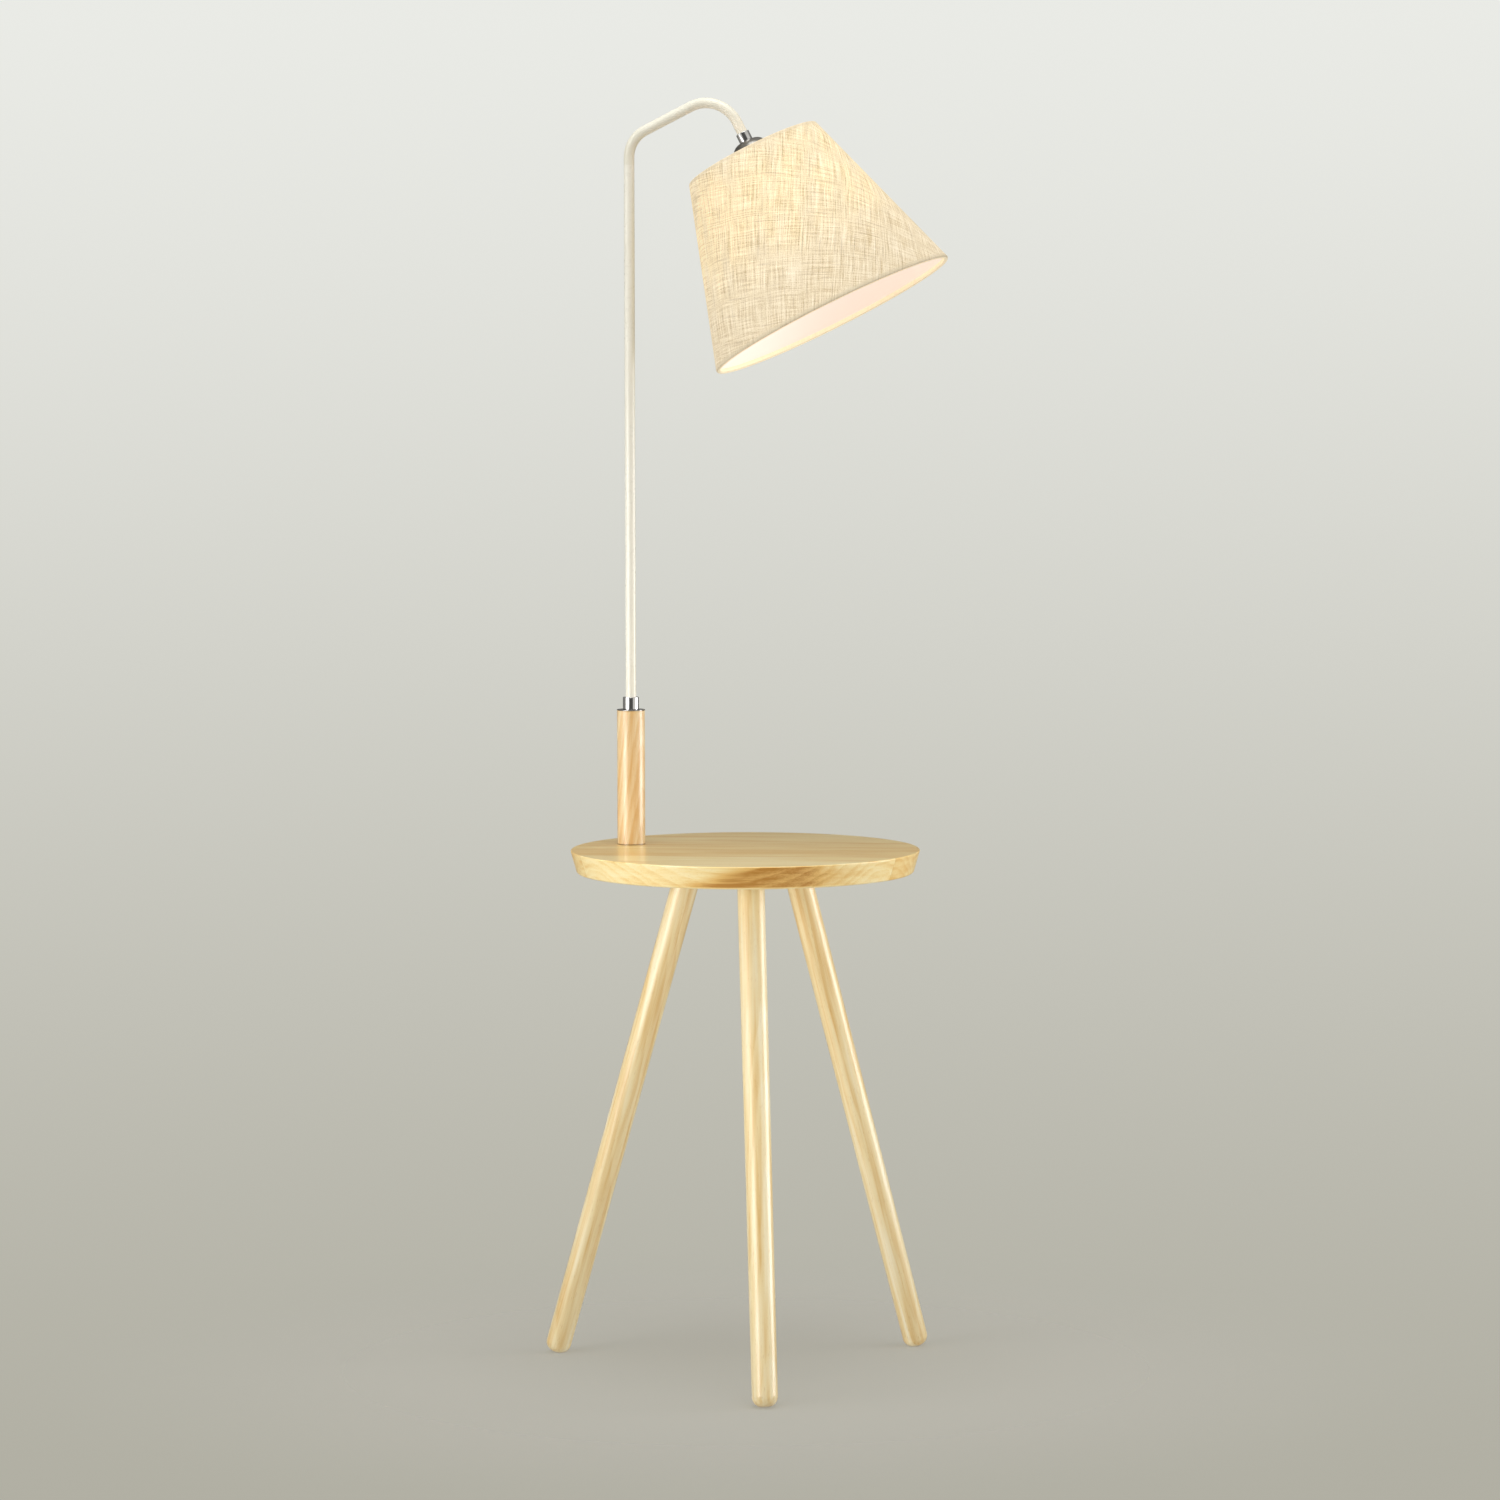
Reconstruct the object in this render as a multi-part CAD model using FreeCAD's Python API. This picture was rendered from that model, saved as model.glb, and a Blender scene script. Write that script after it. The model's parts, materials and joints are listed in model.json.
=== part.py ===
"""Floor lamp with a round side table: a white upright on a gooseneck carries a linen shade.

Millimetres, +Z up. The origin is on the floor, on the table's upright axis. The post and one leg
stand on the -X side, and the lamp's arm reaches towards +X, turned a little towards +Y.
"""

import FreeCAD, Part
import math
import os

# ---- Driving dimensions, millimetres and degrees -------------------------------------------

# General clearances
slip_gap = 0.15  # radial, between pieces that are pushed together and stay
thread_gap = 0.05  # radial, between a plain shank and the thread that holds it
running_gap = 0.05  # radial, in the swivel
free_gap = 0.3  # between pieces that move past each other
cut_over = 1.0  # how far a cutting solid runs past the face that it opens

# Table top
table_height = 600.0
top_diameter = 400.0
top_thickness = 26.0
top_underside_diameter = 385.0
top_upper_edge_radius = 1.5
top_lower_edge_radius = 3.0

# Legs
leg_count = 3
leg_head_diameter = 31.0
leg_foot_diameter = 29.0
leg_circle_at_underside = 71.0  # radius of the circle that the leg axes pass there
leg_circle_at_floor = 245.0
leg_end_radius = 11.0
foot_flat_depth = 0.5  # how much of the rounded foot is sanded flat
leg_socket_depth = 8.0  # along the leg's axis
leg_bolt_diameter = 8.0
leg_bolt_in_leg = 35.0
leg_bolt_in_insert = 11.0
leg_bolt_point = 6.0
leg_insert_diameter = 12.0
leg_insert_length = 12.0

# Post on the table
post_circle = 145.0  # distance of the post's axis from the table's axis
post_diameter = 32.0
post_height = 155.0  # above the table top
post_seat_depth = 2.0
post_edge_radius = 0.8

# Threaded rod that clamps the post, with what is on it
rod_diameter = 10.0
rod_wall = 2.0
rod_below_nut = 7.0
rod_recess_depth = 12.0
rod_recess_room = 2.0  # round the washer
rod_washer_overlap = 8.0  # radial, past the rod
rod_washer_thickness = 1.5
rod_nut_wall = 3.5  # from the rod to a flat of the nut
rod_nut_thickness = 4.0

# Cord gland under the table top
gland_wall = 4.0  # round the rod
gland_nose_wall = 2.9  # round the cord's bore
gland_cord_bore = 7.2
gland_cord_length = 6.0
gland_thread_length = 6.5
gland_nose_length = 5.0

# Chrome plate and collar on the post
post_plate_overhang = 0.2
post_plate_thickness = 0.8
collar_wall = 3.15
collar_height = 14.3
collar_edge_radius = 0.6
collar_shank_wall = 0.95
collar_shank_length = 18.0
collar_floor_thickness = 2.0
collar_thread_length = 5.0

# Screw that stops the swivel
stop_screw_diameter = 3.0
stop_screw_tip_diameter = 2.0
stop_screw_drop = 8.0  # below the collar's upper end
stop_groove_depth = 1.2
swivel_reach = 150.0  # degrees either way

# Upright
tube_diameter = 12.0
tube_wall = 1.0
tube_in_collar = 4.0
tube_length = 614.0
spigot_in_tube = 20.0
arm_turn = 10.0  # degrees, from +X towards +Y

# Gooseneck
neck_sleeve_step = 0.0  # how far the sleeve stands out from the tube
neck_core_wall = 1.0
neck_core_in_bush = 22.0
neck_bush_length = 25.0
neck_bush_wall = 0.7
neck_start_run = 8.2
neck_root_bend_radius = 34.0
neck_root_bend_angle = 63.7
neck_middle_run = 60.0
neck_middle_piece = 30.0  # length of the straight piece of sleeve
neck_tip_bend_radius = 41.6
neck_tip_bend_angle = 89.2
neck_end_run = 13.0
flex_room = 0.7  # radial, in the gooseneck

# Bulb
bulb_globe_diameter = 60.0
bulb_length = 108.0
bulb_neck_diameter = 28.0
bulb_flare_length = 4.8
bulb_meet_angle = -21.0  # where the neck's flare runs into the globe, from its equator
bulb_glass_wall = 1.0
bulb_base_diameter = 26.2
bulb_base_length = 24.0
bulb_base_wall = 0.5
bulb_contact_diameter = 9.5
bulb_contact_height = 2.5

# Head: collar, cap and lampholder; drops are measured down from the collar's upper end
head_collar_wall = 1.65
head_collar_height = 10.6
head_collar_mouth = 3.0  # how deep the sleeve goes in
nipple_wall = 0.75
nipple_length = 19.0
core_in_nipple = 11.0
cap_room = 1.2  # radial, round the lampholder
cap_shoulder_radius = 14.0
cap_wall = 0.8
cap_length = 29.4
holder_dome_shoulder = 12.0
holder_dome_wall = 2.0
holder_dome_length = 22.6
holder_skirt_wall = 4.8
holder_skirt_length = 30.0
holder_flange_width = 4.5
holder_flange_thickness = 2.0
holder_flange_drop = 7.0
holder_insert_thickness = 8.0
screw_shell_room = 0.8  # radial, round the bulb's base
screw_shell_wall = 0.5
screw_shell_length = 24.0
terminal_screw_diameter = 3.0
terminal_screw_length = 6.0
terminal_screw_spread = 18.0
contact_width = 6.0
contact_length = 12.0
contact_thickness = 0.6
contact_lift = 2.0

# Shade
shade_drop = 25.2  # from the collar's upper end to the shade's upper rim
shade_top_diameter = 160.0
shade_bottom_diameter = 294.0
shade_height = 207.0
linen_thickness = 0.8
linen_hem_width = 3.2
linen_hem_lap = 2.0  # how far the hem's end stands in from the wall's outside
liner_thickness = 0.6
glue_gap = 0.05
hoop_wire_diameter = 2.4
hoop_room = 0.5  # radial, between the hoop wire and the hem round it
arm_wire_diameter = 3.2
fitter_arm_count = 3
fitter_ring_lip = 1.0  # how far the ring stands out from the nut's flange
fitter_ring_thickness = 1.6
shade_nut_lip = 2.0  # how far the nut's flange stands out from the lampholder's
shade_nut_length = 7.0
shade_nut_wall = 2.4

# ---- Places worked out from them -------------------------------------------------------------

underside_height = table_height - top_thickness
leg_splay = math.degrees(math.atan2(leg_circle_at_floor - leg_circle_at_underside, underside_height))
post_top = table_height + post_height
plate_top = post_top + post_plate_thickness
collar_top = plate_top + collar_height
collar_foot = plate_top - collar_shank_length
collar_floor_top = collar_foot + collar_thread_length + collar_floor_thickness
tube_foot = collar_top - tube_in_collar
tube_bore = tube_diameter - 2 * tube_wall
neck_seam_height = tube_foot + tube_length
neck_bush_diameter = tube_bore - 2 * thread_gap
neck_core_diameter = neck_bush_diameter - 2 * neck_bush_wall - 2 * thread_gap
neck_core_bore = neck_core_diameter - 2 * neck_core_wall
neck_sleeve_diameter = tube_diameter + 2 * neck_sleeve_step
flex_diameter = neck_core_bore - 2 * flex_room
wire_hole_diameter = neck_core_bore
bearing_diameter = tube_diameter + 2 * running_gap
collar_diameter = bearing_diameter + 2 * collar_wall
collar_shank_diameter = bearing_diameter + 2 * collar_shank_wall
stop_groove_floor_diameter = tube_diameter - 2 * stop_groove_depth
stop_screw_height = collar_top - stop_screw_drop
recess_ceiling = underside_height + rod_recess_depth
nut_foot = recess_ceiling - rod_washer_thickness - rod_nut_thickness
rod_foot = nut_foot - rod_below_nut
rod_bore = rod_diameter - 2 * rod_wall
rod_hole_diameter = rod_diameter + 2 * slip_gap
rod_washer_diameter = rod_diameter + 2 * rod_washer_overlap
rod_recess_diameter = rod_washer_diameter + 2 * rod_recess_room
gland_diameter = rod_diameter + 2 * gland_wall
gland_nose_diameter = gland_cord_bore + 2 * gland_nose_wall
post_plate_diameter = post_diameter + 2 * post_plate_overhang
nipple_diameter = neck_core_diameter + 2 * thread_gap + 2 * nipple_wall
head_collar_diameter = neck_sleeve_diameter + 2 * slip_gap + 2 * head_collar_wall
screw_shell_outer = bulb_base_diameter + 2 * screw_shell_room + 2 * screw_shell_wall
holder_skirt_bore = screw_shell_outer + 2 * free_gap
holder_skirt_diameter = holder_skirt_bore + 2 * holder_skirt_wall
holder_dome_diameter = holder_skirt_diameter - 2 * free_gap
holder_flange_diameter = holder_skirt_diameter + 2 * holder_flange_width
cap_diameter = holder_skirt_diameter + 2 * cap_room + 2 * cap_wall
shade_nut_diameter = holder_flange_diameter + 2 * shade_nut_lip
fitter_ring_diameter = shade_nut_diameter + 2 * fitter_ring_lip
cap_drop = head_collar_height
dome_drop = cap_drop + cap_wall
skirt_drop = dome_drop + holder_dome_length
flange_drop = skirt_drop + holder_flange_drop
flange_foot = flange_drop + holder_flange_thickness
insert_drop = skirt_drop - holder_insert_thickness / 2
insert_foot = insert_drop + holder_insert_thickness
holder_foot = skirt_drop + holder_skirt_length
contact_foot = insert_foot + contact_thickness + contact_lift
shade_slope = math.atan2((shade_bottom_diameter - shade_top_diameter) / 2, shade_height)
shade_wall_length = shade_height / math.cos(shade_slope)
hoop_inset = linen_thickness + hoop_room + hoop_wire_diameter / 2  # from the wall's outside
hem_outer_radius = hoop_inset
hem_inner_radius = hoop_inset - linen_thickness


# ---- Drawing helpers ---------------------------------------------------------------------------


def at(x, y, z):
    return FreeCAD.Vector(x, y, z)


up = at(0, 0, 1)
across = at(0, 1, 0)
behind = at(-1, 0, 0)
same_place = 0.01  # nearer than this, two places are one


def outline(start, *moves):
    """A closed face in the XZ plane. A move is a point, or a pair of points for an arc."""
    edges = []
    first = at(start[0], 0, start[1])
    here = first
    for move in moves:
        if isinstance(move[0], tuple):
            through = at(move[0][0], 0, move[0][1])
            there = at(move[1][0], 0, move[1][1])
            edges.append(Part.Arc(here, through, there).toShape())
        else:
            there = at(move[0], 0, move[1])
            edges.append(Part.LineSegment(here, there).toShape())
        here = there
    if here.distanceToPoint(first) > same_place:
        edges.append(Part.LineSegment(here, first).toShape())
    return Part.Face(Part.Wire(edges))


def turned(start, *moves):
    """The solid that an outline sweeps when it turns round the Z axis."""
    return outline(start, *moves).revolve(at(0, 0, 0), up, 360)


def corner_arc(centre, radius, from_angle, to_angle):
    """The pair of points that takes an outline round an arc, with angles in degrees."""
    middle = math.radians((from_angle + to_angle) / 2)
    last = math.radians(to_angle)
    through = (centre[0] + radius * math.cos(middle), centre[1] + radius * math.sin(middle))
    end = (centre[0] + radius * math.cos(last), centre[1] + radius * math.sin(last))
    return through, end


def rod(diameter, low, high):
    """An upright cylinder on the Z axis."""
    return Part.makeCylinder(diameter / 2, high - low, at(0, 0, low))


def sleeve(outer, inner, low, high):
    """An upright tube on the Z axis, given by its two diameters."""
    return rod(outer, low, high).cut(rod(inner, low, high))


def edges_at(shape, height, radius):
    """The round edges of a shape at a height and a radius about the Z axis."""
    found = []
    for edge in shape.Edges:
        curve = edge.Curve
        if isinstance(curve, Part.Circle):
            same_height = abs(curve.Center.z - height) < same_place
            if same_height and abs(curve.Radius - radius) < same_place:
                found.append(edge)
    return found


def moved(shape, place):
    """A copy of a shape, put at a place."""
    copy = shape.copy()
    copy.Placement = place.multiply(copy.Placement)
    return copy


def shift(x, y, z):
    return FreeCAD.Placement(at(x, y, z), FreeCAD.Rotation())


def spin(axis, angle):
    return FreeCAD.Placement(at(0, 0, 0), FreeCAD.Rotation(axis, angle))


# ---- Table -------------------------------------------------------------------------------------


def leg_place(number):
    """Where a leg's axis meets the underside, with +Z up along the leg; leg 0 is the rear one."""
    round_table = spin(up, 180 + number * 360 / leg_count)
    out = shift(leg_circle_at_underside, 0, underside_height)
    return round_table.multiply(out).multiply(spin(across, -leg_splay))


def post_place():
    return shift(-post_circle, 0, 0)


def make_table_top():
    top_radius = top_diameter / 2
    lower_radius = top_underside_diameter / 2
    top = turned(
        (0, underside_height),
        (lower_radius, underside_height),
        (top_radius, table_height),
        (0, table_height),
    )
    top = top.makeFillet(top_upper_edge_radius, edges_at(top, table_height, top_radius))
    top = top.makeFillet(top_lower_edge_radius, edges_at(top, underside_height, lower_radius))
    insert_hole_diameter = leg_insert_diameter + 2 * thread_gap
    for number in range(leg_count):
        socket = rod(leg_head_diameter + 2 * slip_gap, -leg_head_diameter, leg_socket_depth)
        insert_hole = rod(insert_hole_diameter, 0, leg_socket_depth + leg_insert_length)
        top = top.cut(moved(socket.fuse(insert_hole), leg_place(number)))
    over = table_height + cut_over
    seat = rod(post_diameter + 2 * slip_gap, table_height - post_seat_depth, over)
    hole = rod(rod_hole_diameter, underside_height - cut_over, over)
    recess = rod(rod_recess_diameter, underside_height - cut_over, recess_ceiling)
    return top.cut(moved(seat.fuse([hole, recess]), post_place()))


def make_leg(number):
    """A leg tapers to its foot. Its end is rounded, and sanded flat where it stands."""
    splay = math.radians(leg_splay)
    foot_radius = leg_foot_diameter / 2
    end_below_axis = (foot_radius - leg_end_radius) * math.sin(splay)
    end_drop = leg_end_radius * (1 - math.cos(splay)) + end_below_axis
    end_height = end_drop - foot_flat_depth
    length = (underside_height - end_height) / math.cos(splay)
    head = leg_socket_depth - slip_gap
    head_radius = leg_head_diameter / 2
    leg = turned((0, -length), (foot_radius, -length), (head_radius, 0), (head_radius, head), (0, head))
    leg = leg.makeFillet(leg_end_radius, edges_at(leg, -length, foot_radius))
    bolt_hole = rod(leg_bolt_diameter + 2 * thread_gap, head - leg_bolt_in_leg - cut_over, head)
    leg = moved(leg.cut(bolt_hole), leg_place(number))
    reach = leg_circle_at_floor + leg_foot_diameter
    depth = leg_foot_diameter
    below_floor = Part.makeBox(2 * reach, 2 * reach, depth, at(-reach, -reach, -depth))
    return leg.cut(below_floor)


def make_leg_bolts():
    """Hanger bolts: wood thread down in the leg, machine thread up in the insert."""
    head = leg_socket_depth - slip_gap
    radius = leg_bolt_diameter / 2
    point = head - leg_bolt_in_leg
    top = head + leg_bolt_in_insert
    bolt = turned((0, point), (radius, point + leg_bolt_point), (radius, top), (0, top))
    return [moved(bolt, leg_place(number)) for number in range(leg_count)]


def make_leg_inserts():
    """Threaded inserts, flush with the floors of the leg sockets."""
    high = leg_socket_depth + leg_insert_length
    insert = sleeve(leg_insert_diameter, leg_bolt_diameter + 2 * thread_gap, leg_socket_depth, high)
    return [moved(insert, leg_place(number)) for number in range(leg_count)]


# ---- Post, its rod and the collar ---------------------------------------------------------------


def make_lamp_post():
    low = table_height - post_seat_depth
    radius = post_diameter / 2
    post = rod(post_diameter, low, post_top)
    post = post.makeFillet(post_edge_radius, edges_at(post, post_top, radius))
    bore = rod(rod_hole_diameter, low, post_top)
    counterbore = rod(collar_shank_diameter + 2 * slip_gap, collar_foot - slip_gap, post_top)
    return moved(post.cut(bore.fuse(counterbore)), post_place())


def make_post_rod():
    high = collar_foot + collar_thread_length - free_gap
    return moved(sleeve(rod_diameter, rod_bore, rod_foot, high), post_place())


def make_rod_washer():
    low = recess_ceiling - rod_washer_thickness
    return moved(sleeve(rod_washer_diameter, rod_hole_diameter, low, recess_ceiling), post_place())


def make_rod_nut():
    flats = rod_diameter + 2 * rod_nut_wall
    corner_radius = flats / math.sqrt(3)
    corners = [spin(up, corner * 60).multVec(at(corner_radius, 0, nut_foot)) for corner in range(7)]
    block = Part.Face(Part.makePolygon(corners)).extrude(at(0, 0, rod_nut_thickness))
    hole = rod(rod_diameter + 2 * thread_gap, nut_foot, nut_foot + rod_nut_thickness)
    return moved(block.cut(hole), post_place())


def make_cord_gland():
    """A bush screwed on the rod's lower end; the cord's bore points down."""
    high = rod_foot + gland_thread_length
    low = rod_foot - free_gap - gland_cord_length
    body = turned(
        (0, low),
        (gland_nose_diameter / 2, low),
        (gland_diameter / 2, low + gland_nose_length),
        (gland_diameter / 2, high),
        (0, high),
    )
    thread = rod(rod_diameter + 2 * thread_gap, rod_foot - free_gap, high)
    cord_bore = rod(gland_cord_bore, low, high)
    return moved(body.cut(thread.fuse(cord_bore)), post_place())


def make_post_plate():
    hole_diameter = collar_shank_diameter + 2 * slip_gap
    return moved(sleeve(post_plate_diameter, hole_diameter, post_top, plate_top), post_place())


def make_base_collar():
    """Chrome collar with a shank in the post; the upright's spigot stands on its floor."""
    radius = collar_diameter / 2
    head = rod(collar_diameter, plate_top, collar_top)
    rims = edges_at(head, plate_top, radius) + edges_at(head, collar_top, radius)
    head = head.makeFillet(collar_edge_radius, rims)
    shank = rod(collar_shank_diameter, collar_foot, plate_top + collar_edge_radius)
    bearing = rod(bearing_diameter, collar_floor_top, collar_top)
    wire_hole = rod(wire_hole_diameter, collar_foot, collar_floor_top)
    thread = rod(rod_diameter + 2 * thread_gap, collar_foot, collar_foot + collar_thread_length)
    collar = head.fuse(shank).cut(bearing.fuse([wire_hole, thread]))
    hole_radius = stop_screw_diameter / 2 + thread_gap
    screw_hole = Part.makeCylinder(hole_radius, collar_diameter, at(0, 0, stop_screw_height), behind)
    return moved(collar.cut(screw_hole).removeSplitter(), post_place())


def make_collar_screw():
    """Dog-point screw from behind; its tip rides in the spigot's groove."""
    tip = stop_groove_floor_diameter / 2 + free_gap
    shoulder = tube_diameter / 2 + free_gap
    head = collar_diameter / 2 - slip_gap
    height = stop_screw_height
    dog = Part.makeCylinder(stop_screw_tip_diameter / 2, head - tip, at(-tip, 0, height), behind)
    body = Part.makeCylinder(stop_screw_diameter / 2, head - shoulder, at(-shoulder, 0, height), behind)
    return moved(dog.fuse(body).removeSplitter(), post_place())


# ---- Upright and neck, drawn in the arm's plane with the tube on the Z axis ---------------------


def arm_place():
    return post_place().multiply(spin(up, arm_turn))


def make_swivel_spigot():
    """Turned bush in the tube's foot, with the groove that the stop screw rides in."""
    wide = rod(tube_diameter, collar_floor_top, tube_foot)
    narrow = rod(tube_bore - 2 * thread_gap, tube_foot, tube_foot + spigot_in_tube)
    wire_hole = rod(wire_hole_diameter, collar_floor_top, tube_foot + spigot_in_tube)
    spigot = wide.fuse(narrow).cut(wire_hole)
    groove_floor = stop_groove_floor_diameter / 2
    tip_radius = stop_screw_tip_diameter / 2
    tip_angle = math.degrees(math.asin(tip_radius / groove_floor))
    play_angle = math.degrees(free_gap / groove_floor)
    half_turn = swivel_reach + tip_angle + play_angle
    width = stop_screw_tip_diameter + 2 * free_gap
    low = at(0, 0, stop_screw_height - width / 2)
    groove = Part.makeCylinder(tube_diameter, width, low, up, 2 * half_turn)
    groove = groove.cut(Part.makeCylinder(groove_floor, width, low))
    return spigot.cut(moved(groove, spin(up, 180 - arm_turn - half_turn))).removeSplitter()


def make_upright_tube():
    return sleeve(tube_diameter, tube_bore, tube_foot, neck_seam_height)


def make_neck_root_bush():
    low = neck_seam_height - neck_bush_length
    bore = neck_core_diameter + 2 * thread_gap
    return sleeve(neck_bush_diameter, bore, low, neck_seam_height)


def ahead(place, length):
    """The place a length further on along the neck."""
    return place.multiply(shift(0, 0, length))


def round_bend(place, radius, angle):
    """The place at the end of a bend towards the place's own +X."""
    turn = math.radians(angle)
    end = shift(radius * (1 - math.cos(turn)), 0, radius * math.sin(turn))
    return place.multiply(end).multiply(spin(across, angle))


neck_root = shift(0, 0, neck_seam_height)
root_bend_start = ahead(neck_root, neck_start_run)
root_bend_end = round_bend(root_bend_start, neck_root_bend_radius, neck_root_bend_angle)
side_run = (neck_middle_run - neck_middle_piece) / 2
middle_start = ahead(root_bend_end, side_run)
middle_end = ahead(middle_start, neck_middle_piece)
tip_bend_start = ahead(middle_end, side_run)
tip_bend_end = round_bend(tip_bend_start, neck_tip_bend_radius, neck_tip_bend_angle)
collar_end = ahead(tip_bend_end, neck_end_run)


def section(outer, inner):
    """A round or ring-shaped face, square to the Z axis."""
    disc = Part.Face(Part.Wire(Part.makeCircle(outer / 2)))
    if inner > 0:
        disc = disc.cut(Part.Face(Part.Wire(Part.makeCircle(inner / 2)))).Faces[0]
    return disc


def straight_run(place, length, outer, inner):
    return moved(section(outer, inner).extrude(at(0, 0, length)), place)


def bend(place, radius, angle, outer, inner):
    return moved(section(outer, inner).revolve(at(radius, 0, 0), across, angle), place)


def root_length_of_neck(outer, inner, before, after):
    """Neck piece from before the seam to after the root bend."""
    return straight_run(ahead(neck_root, -before), before + neck_start_run, outer, inner).fuse([
        bend(root_bend_start, neck_root_bend_radius, neck_root_bend_angle, outer, inner),
        straight_run(root_bend_end, after, outer, inner),
    ]).removeSplitter()


def tip_length_of_neck(outer, inner, before, after):
    """Neck piece from before the tip bend to after the collar's upper end."""
    return straight_run(ahead(tip_bend_start, -before), before, outer, inner).fuse([
        bend(tip_bend_start, neck_tip_bend_radius, neck_tip_bend_angle, outer, inner),
        straight_run(tip_bend_end, neck_end_run + after, outer, inner),
    ]).removeSplitter()


def make_neck_pieces():
    sleeve_bore = neck_core_diameter + 2 * thread_gap
    half_run = neck_middle_run / 2
    core = (neck_core_diameter, neck_core_bore)
    cover = (neck_sleeve_diameter, sleeve_bore)
    flex = (flex_diameter, 0)
    return {
        "neck_core_root": root_length_of_neck(*core, neck_core_in_bush, half_run),
        "neck_core_tip": tip_length_of_neck(*core, half_run, head_collar_mouth + core_in_nipple),
        "neck_sleeve_root": root_length_of_neck(*cover, 0, side_run),
        "neck_sleeve_middle": straight_run(middle_start, neck_middle_piece, *cover),
        "neck_sleeve_tip": tip_length_of_neck(*cover, side_run, head_collar_mouth),
        "flex_in_neck_root": root_length_of_neck(*flex, 0, half_run),
        "flex_in_neck_tip": tip_length_of_neck(*flex, half_run, head_collar_mouth),
    }


# ---- Head, drawn with the collar's upper end at the origin and +Z down along the shade's axis ---


def head_place():
    return arm_place().multiply(collar_end)


def make_head_collar():
    radius = head_collar_diameter / 2
    collar = rod(head_collar_diameter, 0, head_collar_height)
    rims = edges_at(collar, 0, radius) + edges_at(collar, head_collar_height, radius)
    collar = collar.makeFillet(collar_edge_radius, rims)
    mouth = rod(neck_sleeve_diameter + 2 * slip_gap, 0, head_collar_mouth)
    thread = rod(nipple_diameter + 2 * thread_gap, 0, head_collar_height)
    return collar.cut(mouth.fuse(thread))


def make_neck_tip_nipple():
    """Threaded nipple; the gooseneck's end is crimped in its upper part."""
    low = head_collar_mouth + slip_gap
    nipple = rod(nipple_diameter, low, low + nipple_length)
    socket = rod(neck_core_diameter + 2 * thread_gap, low, head_collar_mouth + core_in_nipple)
    return nipple.cut(socket.fuse(rod(wire_hole_diameter, low, low + nipple_length)))


def domed_cup(diameter, shoulder, wall, drop, length, hole_diameter):
    """A cup with its mouth down: a round shoulder, an even wall and a hole in its top."""
    outer = diameter / 2
    inner = outer - wall
    centre = (outer - shoulder, drop + shoulder)
    foot = drop + length
    return turned(
        (hole_diameter / 2, drop),
        (centre[0], drop),
        corner_arc(centre, shoulder, -90, 0),
        (outer, foot),
        (inner, foot),
        (inner, centre[1]),
        corner_arc(centre, shoulder - wall, 0, -90),
        (hole_diameter / 2, drop + wall),
    )


def make_holder_cap():
    hole_diameter = nipple_diameter + 2 * slip_gap
    return domed_cup(cap_diameter, cap_shoulder_radius, cap_wall, cap_drop, cap_length, hole_diameter)


def make_holder_dome():
    hole_diameter = nipple_diameter + 2 * thread_gap
    return domed_cup(
        holder_dome_diameter,
        holder_dome_shoulder,
        holder_dome_wall,
        dome_drop,
        holder_dome_length,
        hole_diameter,
    )


def make_holder_skirt():
    body = rod(holder_skirt_diameter, skirt_drop, holder_foot)
    flange = rod(holder_flange_diameter, flange_drop, flange_foot)
    skirt = body.fuse(flange).cut(rod(holder_skirt_bore, insert_foot, holder_foot))
    insert_seat = rod(holder_dome_diameter - 2 * holder_dome_wall, skirt_drop, insert_foot)
    return skirt.cut(insert_seat).removeSplitter()


def terminal_screw_places():
    return [shift(side * terminal_screw_spread / 2, 0, 0) for side in (-1, 1)]


def make_holder_insert():
    diameter = holder_dome_diameter - 2 * holder_dome_wall - 2 * slip_gap
    insert = rod(diameter, insert_drop, insert_foot)
    hole = rod(terminal_screw_diameter + 2 * thread_gap, insert_drop, insert_drop + terminal_screw_length)
    for place in terminal_screw_places():
        insert = insert.cut(moved(hole, place))
    return insert


def make_terminal_screws():
    high = insert_drop + terminal_screw_length
    screw = rod(terminal_screw_diameter, insert_drop, high)
    head = rod(2 * terminal_screw_diameter, insert_drop - terminal_screw_diameter / 2, insert_drop)
    screw = screw.fuse(head).removeSplitter()
    return [moved(screw, place) for place in terminal_screw_places()]


def make_screw_shell():
    outer = screw_shell_outer
    return sleeve(outer, outer - 2 * screw_shell_wall, insert_foot, insert_foot + screw_shell_length)


def make_centre_contact():
    """Bent strip under the bulb's foot: a base on the insert and a raised tongue."""
    half = contact_length / 2
    top = insert_foot
    foot = top + contact_thickness
    tongue = foot + contact_lift
    strip = outline(
        (-half, top),
        (0, top),
        (half / 2, tongue - contact_thickness),
        (half, tongue - contact_thickness),
        (half, tongue),
        (half / 3, tongue),
        (-half / 3, foot),
        (-half, foot),
    )
    return moved(strip.extrude(at(0, contact_width, 0)), shift(0, -contact_width / 2, 0))


def make_flex_in_head():
    return rod(flex_diameter, head_collar_mouth, insert_drop - terminal_screw_diameter)


# ---- Shade ---------------------------------------------------------------------------------------


def on_wall(along, inset):
    """(radius, drop) of a point on the shade's wall: along it from the upper rim, and in from it."""
    radius = shade_top_diameter / 2 + along * math.sin(shade_slope) - inset * math.cos(shade_slope)
    drop = shade_drop + along * math.cos(shade_slope) + inset * math.sin(shade_slope)
    return radius, drop


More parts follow.
